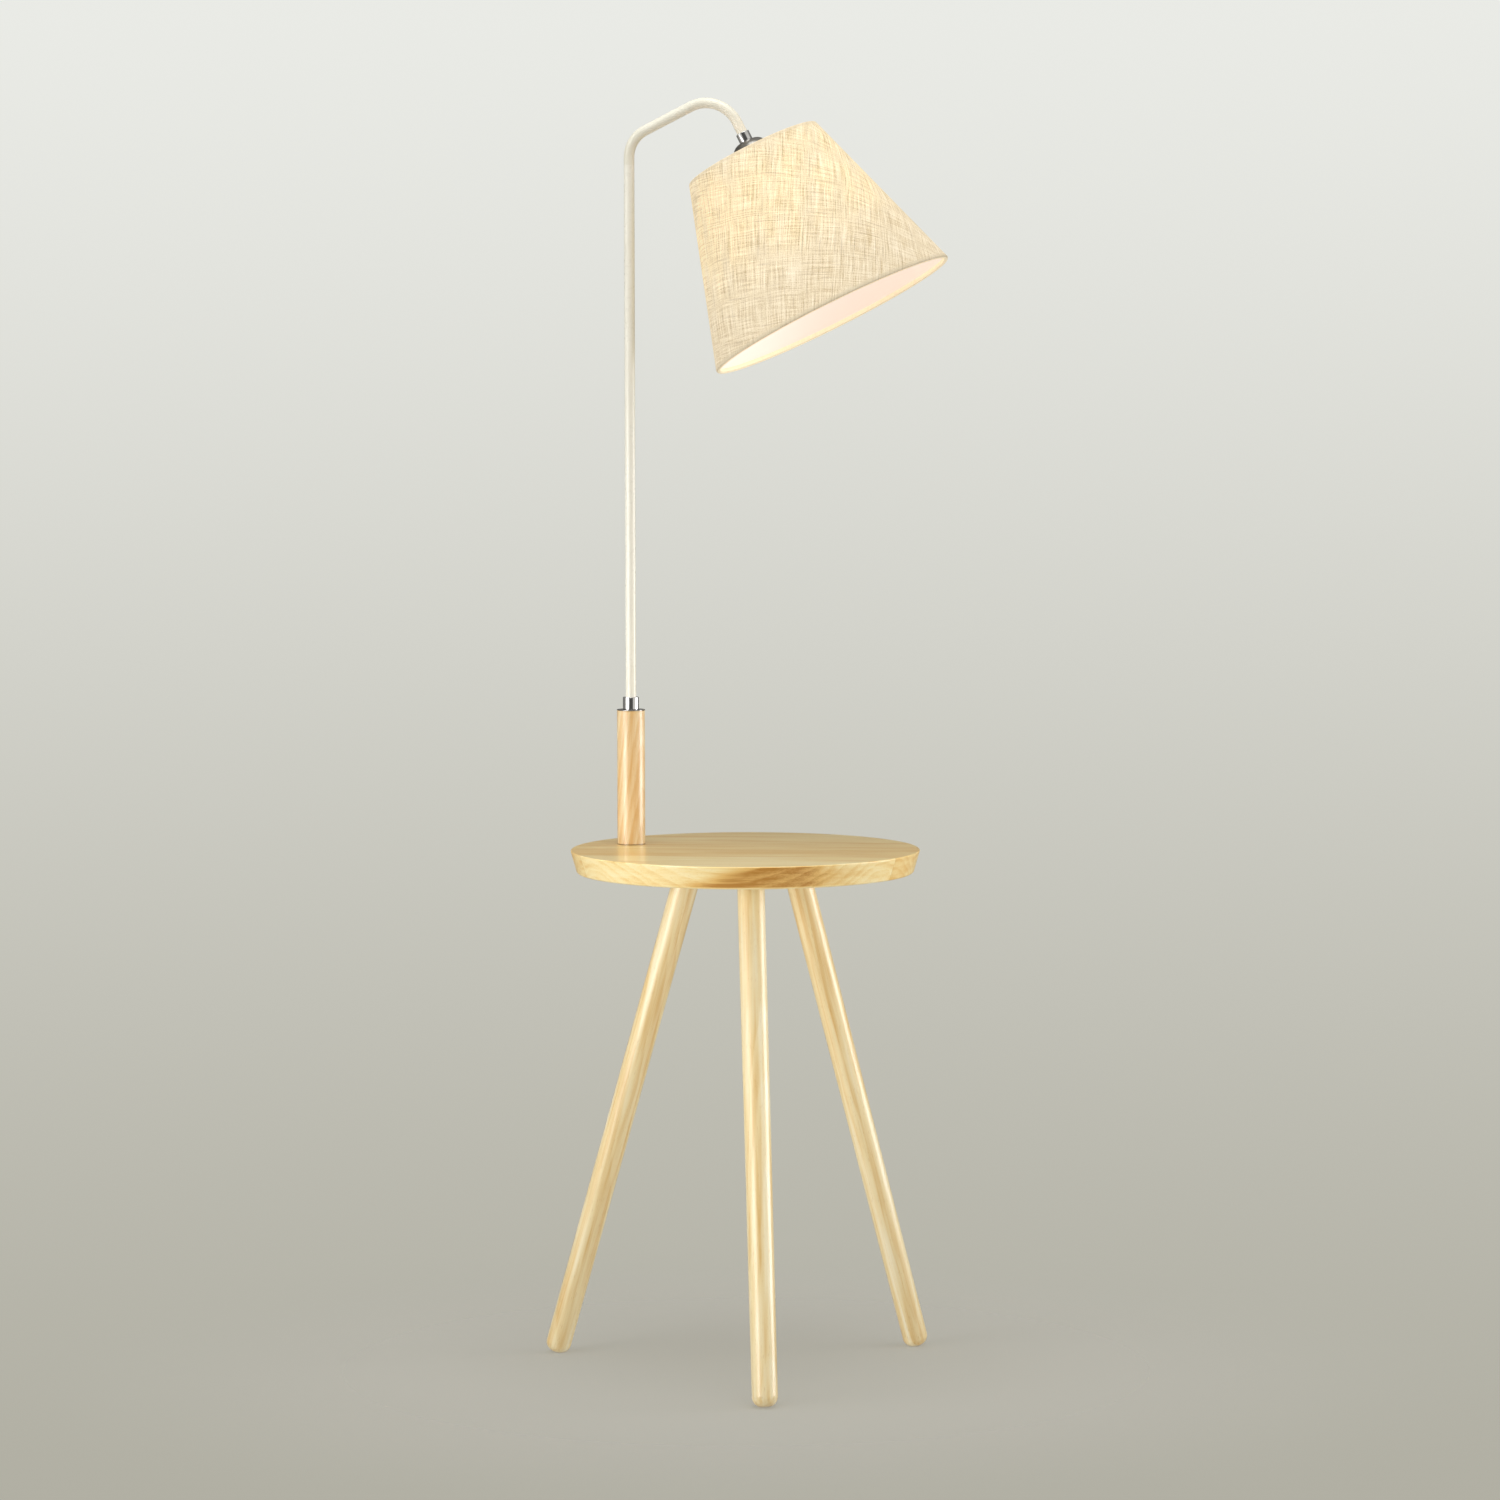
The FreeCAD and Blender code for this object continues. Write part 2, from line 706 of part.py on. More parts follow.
def round_hoop(centre, radius, start, sweep):
    """Two arcs about a hoop wire; angles in degrees from the outward side of the wall."""
    arcs = []
    for part in (0, 1):
        first = start + sweep * part / 2
        last = start + sweep * (part + 1) / 2
        turn = math.degrees(shade_slope)
        arcs.append(corner_arc(centre, radius, first - turn, last - turn))
    return arcs


def make_shade_skin():
    """Linen wall whose two ends are rolled over the hoop wires and lapped back inside."""
    length = shade_wall_length
    high = hem_outer_radius
    low = length - hem_outer_radius
    lap = linen_thickness + linen_hem_lap
    top_centre = on_wall(high, hoop_inset)
    foot_centre = on_wall(low, hoop_inset)
    skin = turned(
        on_wall(high, 0),
        on_wall(low, 0),
        *round_hoop(foot_centre, hem_outer_radius, 0, 180),
        on_wall(low - linen_hem_width, lap),
        on_wall(low - linen_hem_width, lap - linen_thickness),
        on_wall(low, 2 * hoop_inset - linen_thickness),
        *round_hoop(foot_centre, hem_inner_radius, 180, -180),
        on_wall(high, linen_thickness),
        *round_hoop(top_centre, hem_inner_radius, 0, -180),
        on_wall(high + linen_hem_width, lap - linen_thickness),
        on_wall(high + linen_hem_width, lap),
        on_wall(high, 2 * hoop_inset),
        *round_hoop(top_centre, hem_outer_radius, -180, 180),
    )
    for notch in fitter_arms(arm_wire_diameter + 2 * slip_gap):
        skin = skin.cut(notch)
    return skin


def make_shade_liner():
    """Plastic liner glued inside the linen, between the two hoop wires."""
    inset = linen_thickness + glue_gap
    high = hem_outer_radius + hoop_wire_diameter / 2 + slip_gap
    low = shade_wall_length - high
    liner = turned(
        on_wall(high, inset),
        on_wall(low, inset),
        on_wall(low, inset + liner_thickness),
        on_wall(high, inset + liner_thickness),
    )
    for notch in fitter_arms(arm_wire_diameter + 2 * slip_gap):
        liner = liner.cut(notch)
    return liner


def hoop(along):
    radius, drop = on_wall(along, hoop_inset)
    return Part.makeTorus(radius, hoop_wire_diameter / 2, at(0, 0, drop))


def make_shade_bottom_wire():
    return hoop(shade_wall_length - hem_outer_radius)


def fitter_arms(diameter):
    """The three wire arms between the flat ring and the upper hoop."""
    hoop_radius, hoop_drop = on_wall(hem_outer_radius, hoop_inset)
    inner_radius = fitter_ring_diameter / 2 - fitter_ring_thickness
    ring_middle = flange_foot + fitter_ring_thickness / 2
    start = at(inner_radius, 0, ring_middle)
    reach = at(hoop_radius, 0, hoop_drop).sub(start)
    arm = Part.makeCylinder(diameter / 2, reach.Length, start, reach)
    step = 360 / fitter_arm_count
    return [moved(arm, spin(up, step / 2 + number * step)) for number in range(fitter_arm_count)]


def make_shade_fitter():
    """Upper hoop, arms and the flat ring that sits under the lampholder's flange."""
    hole_diameter = holder_skirt_diameter + 2 * slip_gap
    ring_foot = flange_foot + fitter_ring_thickness
    flat_ring = sleeve(fitter_ring_diameter, hole_diameter, flange_foot, ring_foot)
    above_ring = rod(holder_flange_diameter + 2 * slip_gap, 0, flange_foot)
    below_ring = rod(shade_nut_diameter + 2 * slip_gap, ring_foot, holder_foot)
    arms = [arm.cut(above_ring.fuse(below_ring)) for arm in fitter_arms(arm_wire_diameter)]
    return flat_ring.fuse(arms + [hoop(hem_outer_radius)]).removeSplitter()


def make_shade_nut():
    """Ring screwed up the lampholder's skirt, with a wide flange against the fitter."""
    high = flange_foot + fitter_ring_thickness
    bore = holder_skirt_diameter + 2 * thread_gap
    flange = rod(shade_nut_diameter, high, high + shade_nut_wall)
    barrel = rod(bore + 2 * shade_nut_wall, high, high + shade_nut_length)
    return flange.fuse(barrel).cut(rod(bore, high, high + shade_nut_length)).removeSplitter()


# ---- Bulb ----------------------------------------------------------------------------------------


def make_bulb_base():
    """Metal base: a cup on the bulb's neck and the contact button at its foot."""
    high = contact_foot + bulb_contact_height
    outer = bulb_base_diameter / 2
    inner = outer - bulb_base_wall
    button = bulb_contact_diameter / 2
    return turned(
        (0, contact_foot),
        (button, contact_foot),
        (button, high),
        (outer, high + bulb_contact_height),
        (outer, high + bulb_base_length),
        (inner, high + bulb_base_length),
        (inner, high + bulb_contact_height + bulb_base_wall),
        (button, high + bulb_base_wall),
        (0, high + bulb_base_wall),
    )


def bulb_outline(wall):
    """Outer (wall 0) or inner outline of the glass, from the neck's end to the globe's far pole."""
    radius = bulb_globe_diameter / 2
    centre = contact_foot + bulb_length - radius
    neck_end = contact_foot + 2 * bulb_contact_height + bulb_base_wall + slip_gap
    neck_radius = bulb_base_diameter / 2 - bulb_base_wall - slip_gap
    shoulder = contact_foot + bulb_contact_height + bulb_base_length + bulb_base_wall
    meet = math.radians(bulb_meet_angle)
    meeting = ((radius - wall) * math.cos(meet), centre + (radius - wall) * math.sin(meet))
    flare = (bulb_neck_diameter / 2 - wall, shoulder + bulb_flare_length)
    return [
        (neck_radius - wall, neck_end + wall),
        (neck_radius - wall, shoulder),
        flare,
        meeting,
        corner_arc((0, centre), radius - wall, bulb_meet_angle, 90),
    ]


def make_bulb_globe():
    outer = bulb_outline(0)
    inner = bulb_outline(bulb_glass_wall)
    full = turned((0, outer[0][1]), *outer)
    hollow = turned((0, inner[0][1]), *inner)
    return full.cut(hollow)


# ---- All pieces ----------------------------------------------------------------------------------


def make_pieces():
    """Every piece by name, each a solid or a list of equal solids, at its place in the lamp."""
    pieces = {"table_top": make_table_top()}
    for number, name in enumerate(("leg_rear", "leg_right", "leg_left")):
        pieces[name] = make_leg(number)
    pieces["leg_bolts"] = make_leg_bolts()
    pieces["leg_inserts"] = make_leg_inserts()
    pieces["lamp_post"] = make_lamp_post()
    pieces["post_rod"] = make_post_rod()
    pieces["rod_washer"] = make_rod_washer()
    pieces["rod_nut"] = make_rod_nut()
    pieces["cord_gland"] = make_cord_gland()
    pieces["post_plate"] = make_post_plate()
    pieces["base_collar"] = make_base_collar()
    pieces["collar_screw"] = make_collar_screw()
    pieces["flex_in_post"] = moved(rod(flex_diameter, rod_foot, collar_floor_top), post_place())

    on_arm = make_neck_pieces()
    on_arm["swivel_spigot"] = make_swivel_spigot()
    on_arm["upright_tube"] = make_upright_tube()
    on_arm["neck_root_bush"] = make_neck_root_bush()
    on_arm["flex_in_upright"] = rod(flex_diameter, collar_floor_top, neck_seam_height)
    for name, piece in on_arm.items():
        pieces[name] = moved(piece, arm_place())

    on_head = {
        "head_collar": make_head_collar(),
        "neck_tip_nipple": make_neck_tip_nipple(),
        "holder_cap": make_holder_cap(),
        "holder_dome": make_holder_dome(),
        "holder_skirt": make_holder_skirt(),
        "holder_insert": make_holder_insert(),
        "terminal_screws": make_terminal_screws(),
        "screw_shell": make_screw_shell(),
        "centre_contact": make_centre_contact(),
        "flex_in_head": make_flex_in_head(),
        "shade_skin": make_shade_skin(),
        "shade_liner": make_shade_liner(),
        "shade_bottom_wire": make_shade_bottom_wire(),
        "shade_fitter": make_shade_fitter(),
        "shade_nut": make_shade_nut(),
        "bulb_base": make_bulb_base(),
        "bulb_globe": make_bulb_globe(),
    }
    for name, piece in on_head.items():
        if isinstance(piece, list):
            pieces[name] = [moved(one, head_place()) for one in piece]
        else:
            pieces[name] = moved(piece, head_place())
    return pieces


def as_solid(shape):
    """The one solid of a shape, facing outwards."""
    assert len(shape.Solids) == 1, "a piece has to be one solid"
    solid = shape.Solids[0]
    if solid.Volume < 0:
        solid.reverse()
    assert solid.isValid(), "a piece has to be a valid solid"
    return solid


def write_pieces(folder):
    for name, piece in make_pieces().items():
        if isinstance(piece, list):
            shape = Part.makeCompound([as_solid(one) for one in piece])
        else:
            shape = as_solid(piece)
        shape.exportStep(f"{folder}/{name}.step")
        print(f"{name:20s} {shape.Volume / 1000:9.2f} cm3")


def print_bend_pivot(label, start, radius, angle):
    """Where the straight lines on the two sides of a bend of the neck meet, in the lamp."""
    tangent = radius * math.tan(math.radians(angle / 2))
    pivot = arm_place().multiply(ahead(start, tangent)).Base
    print(f"{label}: pivot {pivot.x:.2f} {pivot.y:.2f} {pivot.z:.2f}")


os.makedirs("parts", exist_ok=True)
write_pieces("parts")
print_bend_pivot("root bend", root_bend_start, neck_root_bend_radius, neck_root_bend_angle)
print_bend_pivot("tip bend", tip_bend_start, neck_tip_bend_radius, neck_tip_bend_angle)
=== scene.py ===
"""Looks of a floor lamp with a round side table: turned wood, chrome, a gooseneck and a linen shade.

Metres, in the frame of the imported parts: +Z up, with the origin on the floor under the table's middle.
Lengths of the lamp's own pieces are written in millimetres times MM.
"""

from __future__ import annotations

import json
import logging
import math
from collections.abc import Callable, Iterable, Mapping, Sequence
from dataclasses import dataclass, field
from enum import Enum
from typing import Any

import bmesh
import bpy
from mathutils import Matrix, Vector

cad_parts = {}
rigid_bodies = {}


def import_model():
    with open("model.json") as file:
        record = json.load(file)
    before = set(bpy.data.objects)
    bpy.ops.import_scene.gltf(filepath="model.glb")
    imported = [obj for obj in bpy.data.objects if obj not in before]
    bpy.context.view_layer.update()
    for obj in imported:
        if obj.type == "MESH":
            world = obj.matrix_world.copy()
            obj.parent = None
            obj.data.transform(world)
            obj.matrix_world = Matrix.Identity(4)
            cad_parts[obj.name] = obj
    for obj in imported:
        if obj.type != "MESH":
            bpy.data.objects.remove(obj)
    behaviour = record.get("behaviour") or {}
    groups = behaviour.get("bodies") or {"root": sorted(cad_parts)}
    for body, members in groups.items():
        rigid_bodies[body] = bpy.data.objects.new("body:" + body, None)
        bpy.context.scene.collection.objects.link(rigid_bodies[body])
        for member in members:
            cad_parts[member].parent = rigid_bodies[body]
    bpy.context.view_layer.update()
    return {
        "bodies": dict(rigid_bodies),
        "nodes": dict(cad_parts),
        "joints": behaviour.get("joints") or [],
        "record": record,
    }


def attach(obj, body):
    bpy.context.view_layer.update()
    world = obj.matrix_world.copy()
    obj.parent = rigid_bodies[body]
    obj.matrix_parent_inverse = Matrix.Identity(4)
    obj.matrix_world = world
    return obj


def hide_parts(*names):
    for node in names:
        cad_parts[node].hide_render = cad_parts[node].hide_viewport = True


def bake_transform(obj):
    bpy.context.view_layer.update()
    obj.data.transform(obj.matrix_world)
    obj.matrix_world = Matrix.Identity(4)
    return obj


log = logging.getLogger("lamp")

MM = 0.001
FULL_TURN = 2 * math.pi
SAME_PLACE = 4e-6  # metres; nearer than this, two places are one
SMOOTH_UNDER = math.radians(34)  # faces that meet at less than this are shaded as one
POST_CIRCLE = 145 * MM  # from the table's middle to the post's axis
CAMERA_AZIMUTH = math.radians(25.1)  # from -Y towards +X
THREAD_ROOM = 0.1 * MM  # by which a bore is wider than the thread in it
PAST = 1 * MM  # how far a cutter runs past what it cuts
Colour = tuple[float, float, float, float]
Waves = tuple[float, float, float]  # waves per millimetre along three axes


class Body(Enum):
    """The moving bodies of the lamp."""

    STAND = "stand"
    UPRIGHT = "upright"
    NECK = "neck"
    HEAD = "head"


def tone(red: float, green: float, blue: float) -> Colour:
    """A colour as a screen shows it, 0 to 255, turned into the renderer's linear values.

    Args:
        red: Red share, 0 to 255.
        green: Green share, 0 to 255.
        blue: Blue share, 0 to 255.

    Returns:
        The linear colour with full alpha.
    """

    def linear(share: float) -> float:
        """One channel of the colour."""
        share /= 255
        return share / 12.92 if share <= 0.04045 else ((share + 0.055) / 1.055) ** 2.4

    return linear(red), linear(green), linear(blue), 1.0


def shift(x: float, y: float, z: float) -> Matrix:
    """A place moved along the axes."""
    return Matrix.Translation((x, y, z))


def turn(angle: float, axis: str) -> Matrix:
    """A place turned about an axis by an angle in radians."""
    return Matrix.Rotation(angle, 4, axis)


# ---- Shader maths ------------------------------------------------------------------------------


class Socket:
    """An output of a node, with arithmetic: an expression on sockets adds its Math nodes."""

    def __init__(self, graph: Graph, output: bpy.types.NodeSocket) -> None:
        """Wraps a node's output."""
        self.graph = graph
        self.output = output

    def __add__(self, other: Feed) -> Socket:
        """self + other."""
        return self.graph.math("ADD", self, other)

    __radd__ = __add__

    def __sub__(self, other: Feed) -> Socket:
        """self - other."""
        return self.graph.math("SUBTRACT", self, other)

    def __rsub__(self, other: Feed) -> Socket:
        """other - self."""
        return self.graph.math("SUBTRACT", other, self)

    def __mul__(self, other: Feed) -> Socket:
        """self * other."""
        return self.graph.math("MULTIPLY", self, other)

    __rmul__ = __mul__

    def __truediv__(self, other: Feed) -> Socket:
        """self / other."""
        return self.graph.math("DIVIDE", self, other)


Feed = Socket | float | Sequence[float]


class Graph:
    """A node tree in the making."""

    def __init__(self, tree: bpy.types.NodeTree) -> None:
        """Empties the tree.

        Args:
            tree: The tree of a material or of the world.
        """
        tree.nodes.clear()
        self.tree = tree

    def node(
        self,
        kind: str,
        settings: Mapping[str, Any] | None = None,
        feeds: Mapping[str | int, Feed] | None = None,
        output: str | int = 0,
    ) -> Socket | None:
        """Adds a node, sets it up and feeds it.

        Args:
            kind: The node's type.
            settings: Its own settings, set before its sockets; "stops" fills a ramp.
            feeds: Values or sockets for its inputs, by name or number.
            output: The output that is handed back.

        Returns:
            That output, or None if the node has none.
        """
        made = self.tree.nodes.new(kind)
        for name, value in (settings or {}).items():
            if name == "stops":
                elements = made.color_ramp.elements
                while len(elements) < len(value):
                    elements.new(0.5)
                for element, (place, colour) in zip(elements, value):
                    element.position = place
                    element.color = colour
            else:
                setattr(made, name, value)
        for key, value in (feeds or {}).items():
            if isinstance(value, Socket):
                self.tree.links.new(value.output, made.inputs[key])
            else:
                made.inputs[key].default_value = value
        return Socket(self, made.outputs[output]) if made.outputs else None

    def math(self, operation: str, *values: Feed) -> Socket:
        """A Math node's result."""
        return self.node("ShaderNodeMath", {"operation": operation}, dict(enumerate(values)))

    def place(self) -> Socket:
        """Object coordinates, in metres."""
        return self.node("ShaderNodeTexCoord", output="Object")

    def seen_from(self, frame: Matrix, scale: float = 1.0) -> Socket:
        """Object coordinates as measured in a piece's own frame.

        Args:
            frame: Where the piece's own frame stands.
            scale: Factor on the result, such as 1000 for millimetres.

        Returns:
            The point as a vector.
        """
        inverse = frame.inverted()
        feeds = {
            "Vector": self.place(),
            "Location": inverse.translation * scale,
            "Rotation": inverse.to_euler(),
            "Scale": (scale, scale, scale),
        }
        return self.node("ShaderNodeMapping", {"vector_type": "POINT"}, feeds)

    def split(self, vector: Socket) -> tuple[Socket, Socket, Socket]:
        """The three parts of a vector.

        Args:
            vector: The vector.

        Returns:
            Its x, y and z.
        """
        made = self.node("ShaderNodeSeparateXYZ", feeds={0: vector})
        outputs = made.output.node.outputs
        return Socket(self, outputs[0]), Socket(self, outputs[1]), Socket(self, outputs[2])

    def join(self, x: Feed, y: Feed, z: Feed) -> Socket:
        """A vector from three parts."""
        return self.node("ShaderNodeCombineXYZ", feeds={0: x, 1: y, 2: z})

    def distance(self, x: Socket, y: Socket) -> Socket:
        """How far a point is from an axis, from the two parts across it."""
        return self.math("SQRT", x * x + y * y)

    def scaled(self, vector: Socket, factor: float) -> Socket:
        """A vector with all its parts scaled alike."""
        feeds = {0: vector, 1: (factor, factor, factor)}
        return self.node("ShaderNodeVectorMath", {"operation": "MULTIPLY"}, feeds)

    def noise(self, vector: Socket, scale: float, detail: float = 2.0, roughness: float = 0.5) -> Socket:
        """Cloudy noise about one half."""
        feeds = {"Vector": vector, "Scale": scale, "Detail": detail, "Roughness": roughness}
        return self.node("ShaderNodeTexNoise", feeds=feeds)

    def drawn_out(
        self, parts: Sequence[Feed], waves: Waves, detail: float, roughness: float = 0.5, salt: float = 0.0
    ) -> Socket:
        """Noise that is drawn out along some axes, as fibres and threads are.

        Args:
            parts: The point's three parts, in millimetres; 0 where it doesn't change.
            waves: Waves per millimetre along each.
            detail: How many finer layers it has.
            roughness: How strong they are.
            salt: Shifts the pattern.

        Returns:
            The noise, about one half.
        """
        x, y, z = (part * wave for part, wave in zip(parts, waves))
        return self.noise(self.join(x, y, z + salt), 1.0, detail, roughness)

    def dice(self, number: Socket, salt: float) -> Socket:
        """A random value, 0 to 1, for a whole number."""
        return self.node("ShaderNodeTexWhiteNoise", {"noise_dimensions": "1D"}, {"W": number + salt})

    def rise(self, value: Feed, low: float, high: float) -> Socket:
        """0 below low, 1 above high, with a soft step between them; low may be the higher one."""
        feeds = {"Value": value, "From Min": low, "From Max": high}
        return self.node("ShaderNodeMapRange", {"interpolation_type": "SMOOTHSTEP"}, feeds)

    def mix(self, factor: Feed, first: Feed, second: Feed, how: str = "MIX") -> Socket:
        """A mix of two colours."""
        settings = {"data_type": "RGBA", "blend_type": how}
        return self.node("ShaderNodeMix", settings, {0: factor, 6: first, 7: second}, 2)

    def shine(self, tint: Feed, level: Socket) -> Socket:
        """A tint dimmed to a level of light."""
        return self.mix(1.0, tint, self.join(level, level, level), "MULTIPLY")

    def ramp(self, factor: Socket, stops: Sequence[tuple[float, Colour]]) -> Socket:
        """A colour ramp."""
        return self.node("ShaderNodeValToRGB", {"stops": stops}, {0: factor})

    def bump(self, height: Socket, depth: float, strength: float) -> Socket:
        """A normal from a height of 0 to 1, whose relief is so many metres deep."""
        feeds = {"Strength": strength, "Distance": depth, "Height": height}
        return self.node("ShaderNodeBump", feeds=feeds)

    def surface(self, varying: Mapping[str, Feed], fixed: Mapping[str, float]) -> None:
        """Ends the tree in a Principled shader.

        Args:
            varying: What changes over the surface, by socket.
            fixed: What is the same all over, by socket.
        """
        shader = self.node("ShaderNodeBsdfPrincipled", feeds={**varying, **fixed})
        self.node("ShaderNodeOutputMaterial", feeds={"Surface": shader})


# ---- Finishes ----------------------------------------------------------------------------------


@dataclass(frozen=True, eq=False)
class Finish:
    """A material of the lamp; each kind draws its own nodes."""

    name: str

    def draw(self, graph: Graph) -> None:
        """Draws the material's nodes."""
        raise NotImplementedError

    def material(self) -> bpy.types.Material:
        """The material, made when it is first asked for.

        Returns:
            The material.
        """
        label = f"{self.name}_finish"
        found = bpy.data.materials.get(label)
        if found is None:
            found = bpy.data.materials.new(label)
            found.use_nodes = True
            self.draw(Graph(found.node_tree))
        return found

    def dress(self, *pieces: bpy.types.Object) -> None:
        """Puts the material on pieces, in place of what they had.

        Args:
            *pieces: The pieces.
        """
        for piece in pieces:
            piece.data.materials.clear()
            piece.data.materials.append(self.material())


@dataclass(frozen=True)
class RipeAndShadedPatch:
    """Darker wood by one edge of a panel, partly riper wood and partly painted shade where the edge faces
    down away from the lights; millimetres in the wood's frame, with Y up.
    """

    start: float = 20.0  # along the grain, at the upper face
    soft: float = 30.0
    end: float = 110.0
    side: float = -180.0  # across the grain, where it is fully there
    fade: float = 60.0
    depth: float = 26.0  # thickness of the panel; neither of its faces shows the patch
    lean: float = 2.6  # how much sooner it starts per millimetre down
    amount: float = 0.56
    faded: float = 0.4  # share of it that is gone past its end

    def share(self, graph: Graph, x: Socket, y: Socket, z: Socket) -> Socket:
        """How much it darkens the wood at a point, as riper wood and as painted shade.

        Args:
            graph: The tree that is drawn.
            x: Across the grain.
            y: Above the upper face.
            z: Along the grain.

        Returns:
            The share.
        """
        begun = graph.rise(z - y * self.lean, self.start - self.soft, self.start + self.soft)
        ended = graph.rise(z, self.end - self.soft, self.end + self.soft)
        beside = graph.rise(x, self.side + self.fade, self.side)
        within = graph.rise(y, -0.3, -1.6) * graph.rise(y, 1 - self.depth, 3 - self.depth)
        return begun * (1 - ended * self.faded) * beside * within * self.amount


@dataclass(frozen=True, eq=False)
class Wood(Finish):
    """Lacquered pale hardwood, cut from the log as a solid: rings about a pith, fibres and pores.

    Lengths are millimetres in the piece's own frame, whose Z axis runs along the grain.
    """

    frame: Matrix
    pith: tuple[float, float]  # where the pith passes the piece's axis
    ring_width: float
    contrast: float
    age: float  # 0 for the palest wood, 1 for the darkest
    seed: float
    gloss: float
    coat_roughness: float = 0.14
    drift: tuple[float, float] = (0.06, 0.03)  # how far the pith runs off along the grain
    board_width: float = 0.0  # 0 for a piece in one
    board_start: float = 0.0  # where a glue line lies, across the boards
    streaks: float = 1.3
    flat_sawn: float = 1.0  # under 1, the streaks are drawn out across the piece too
    shadow_line: float = 0.0  # metres above the floor, of a thin line of painted shadow where the post sits in its seat
    patch: RipeAndShadedPatch | None = None

    palest: Colour = tone(250, 237, 196)
    pale: Colour = tone(242, 218, 156)
    ripe: Colour = tone(227, 184, 106)
    dark: Colour = tone(184, 128, 50)
    # colour of the painted shadow line at the post's foot
    foot_shadow: Colour = tone(110, 76, 40)

    sway_waves: Waves = (0.02, 0.02, 0.004)
    sway: float = 22.0  # how far the rings sway in and out
    season_waves: float = 0.06  # waves per millimetre of radius
    season: float = 1.6  # rings by which good and bad years shift the rest
    fibre_waves: Waves = (0.9, 0.9, 0.02)
    streak_waves: Waves = (0.12, 0.12, 0.005)
    pore_waves: Waves = (1.5, 1.5, 0.13)
    fibre_share: float = 0.4
    pore_share: float = 0.35
    glue_share: float = 0.3
    # how strongly the painted shadow line darkens the wood
    foot_shadow_share: float = 0.75
    pith_spread: float = 1.1  # of the board's width
    pith_rise: float = 70.0
    shade_spread: float = 0.3
    log_length: float = 700.0
    relief: float = 0.06

    def board(self, graph: Graph, x: Socket) -> tuple[Feed, Feed, Feed, Feed, Feed]:
        """What differs from board to board; a piece in one is a single board.

        Args:
            graph: The tree that is drawn.
            x: Millimetres across the boards.

        Returns:
            The pith's two parts, the shade, the way along the log, and the line of glue, 0 to 1.
        """
        if not self.board_width:
            return *self.pith, self.age, 0.0, 0.0
        across = (x - self.board_start) / self.board_width
        board = graph.math("FLOOR", across)
        edge = graph.math("PINGPONG", across, 0.5) * self.board_width
        glue = 1 - graph.rise(edge, 0.15, 0.6)
        middle = (board + 0.5) * self.board_width + self.board_start
        pith_x = middle + (graph.dice(board, self.seed) - 0.5) * self.board_width * self.pith_spread
        pith_y = self.pith[1] + (graph.dice(board, self.seed + 17.3) - 0.5) * self.pith_rise
        shade = (graph.dice(board, self.seed + 5.1) - 0.5) * self.shade_spread + self.age
        return pith_x, pith_y, shade, graph.dice(board, self.seed + 9.7) * self.log_length, glue

    def late_wood(self, graph: Graph, radius: Socket) -> Socket:
        """How far the year has gone at a distance from the pith, 0 to 1, falling back in winter.

        Args:
            graph: The tree that is drawn.
            radius: Millimetres from the pith.

        Returns:
            The share.
        """
        season = graph.noise(graph.join(radius * self.season_waves, 0.0, self.seed), 1.0, 1.0)
        phase = graph.math("FRACT", radius / self.ring_width + season * self.season)
        return graph.rise(phase, 0.05, 0.75) * (1 - graph.rise(phase, 0.8, 1.0))

    def draw(self, graph: Graph) -> None:
        """Rings, fibres and pores under a clear lacquer.

        Args:
            graph: The tree that is drawn.
        """
        x, y, z = graph.split(graph.seen_from(self.frame, 1 / MM))
        # darker band on the front of the rim: partly riper wood, partly painted shade
        ripe_and_shaded: Feed = self.patch.share(graph, x, y, z) if self.patch else 0.0
        pith_x, pith_y, shade, along_log, glue = self.board(graph, x)
        z = z + along_log
        parts = (x, y, z)
        sway = graph.drawn_out(parts, self.sway_waves, 3.0, salt=self.seed)
        from_pith = graph.distance(x - pith_x - z * self.drift[0], y - pith_y - z * self.drift[1])
        late = self.late_wood(graph, from_pith + (sway - 0.5) * self.sway)
        fibre = graph.drawn_out(parts, self.fibre_waves, 4.0, 0.6, self.seed)
        across, up, along = self.streak_waves
        streak = graph.drawn_out(parts, (across * self.flat_sawn, up, along), 3.0, 0.55, self.seed)
        pore = graph.rise(graph.drawn_out(parts, self.pore_waves, 1.0), 0.66, 0.76)
        depth = (late - 0.45) * self.contrast + (streak - 0.5) * self.streaks
        depth = depth + (fibre - 0.5) * self.fibre_share + shade + ripe_and_shaded
        stops = [(0.0, self.palest), (0.35, self.pale), (0.7, self.ripe), (1.0, self.dark)]
        colour = graph.mix(pore * self.pore_share, graph.ramp(depth, stops), self.dark)
        colour = graph.mix(glue * self.glue_share, colour, self.dark)
        # a thin band of painted shadow at the post's foot, where it sits in its seat
        if self.shadow_line:
            _, _, level = graph.split(graph.place())
            seam = graph.rise(level, self.shadow_line + 1.6 * MM, self.shadow_line + 0.6 * MM)
            colour = graph.mix(seam * self.foot_shadow_share, colour, self.foot_shadow)
        relief = graph.bump(fibre * 0.5 - pore - glue, self.relief * MM, 0.4)
        rough = 0.36 + (fibre - 0.5) * 0.2 + pore * 0.2
        varying = {"Base Color": colour, "Roughness": rough, "Normal": relief}
        lacquer = {"Coat Weight": self.gloss, "Coat Roughness": self.coat_roughness, "Coat IOR": 1.5}
        graph.surface(varying, {**lacquer, "IOR": 1.45})


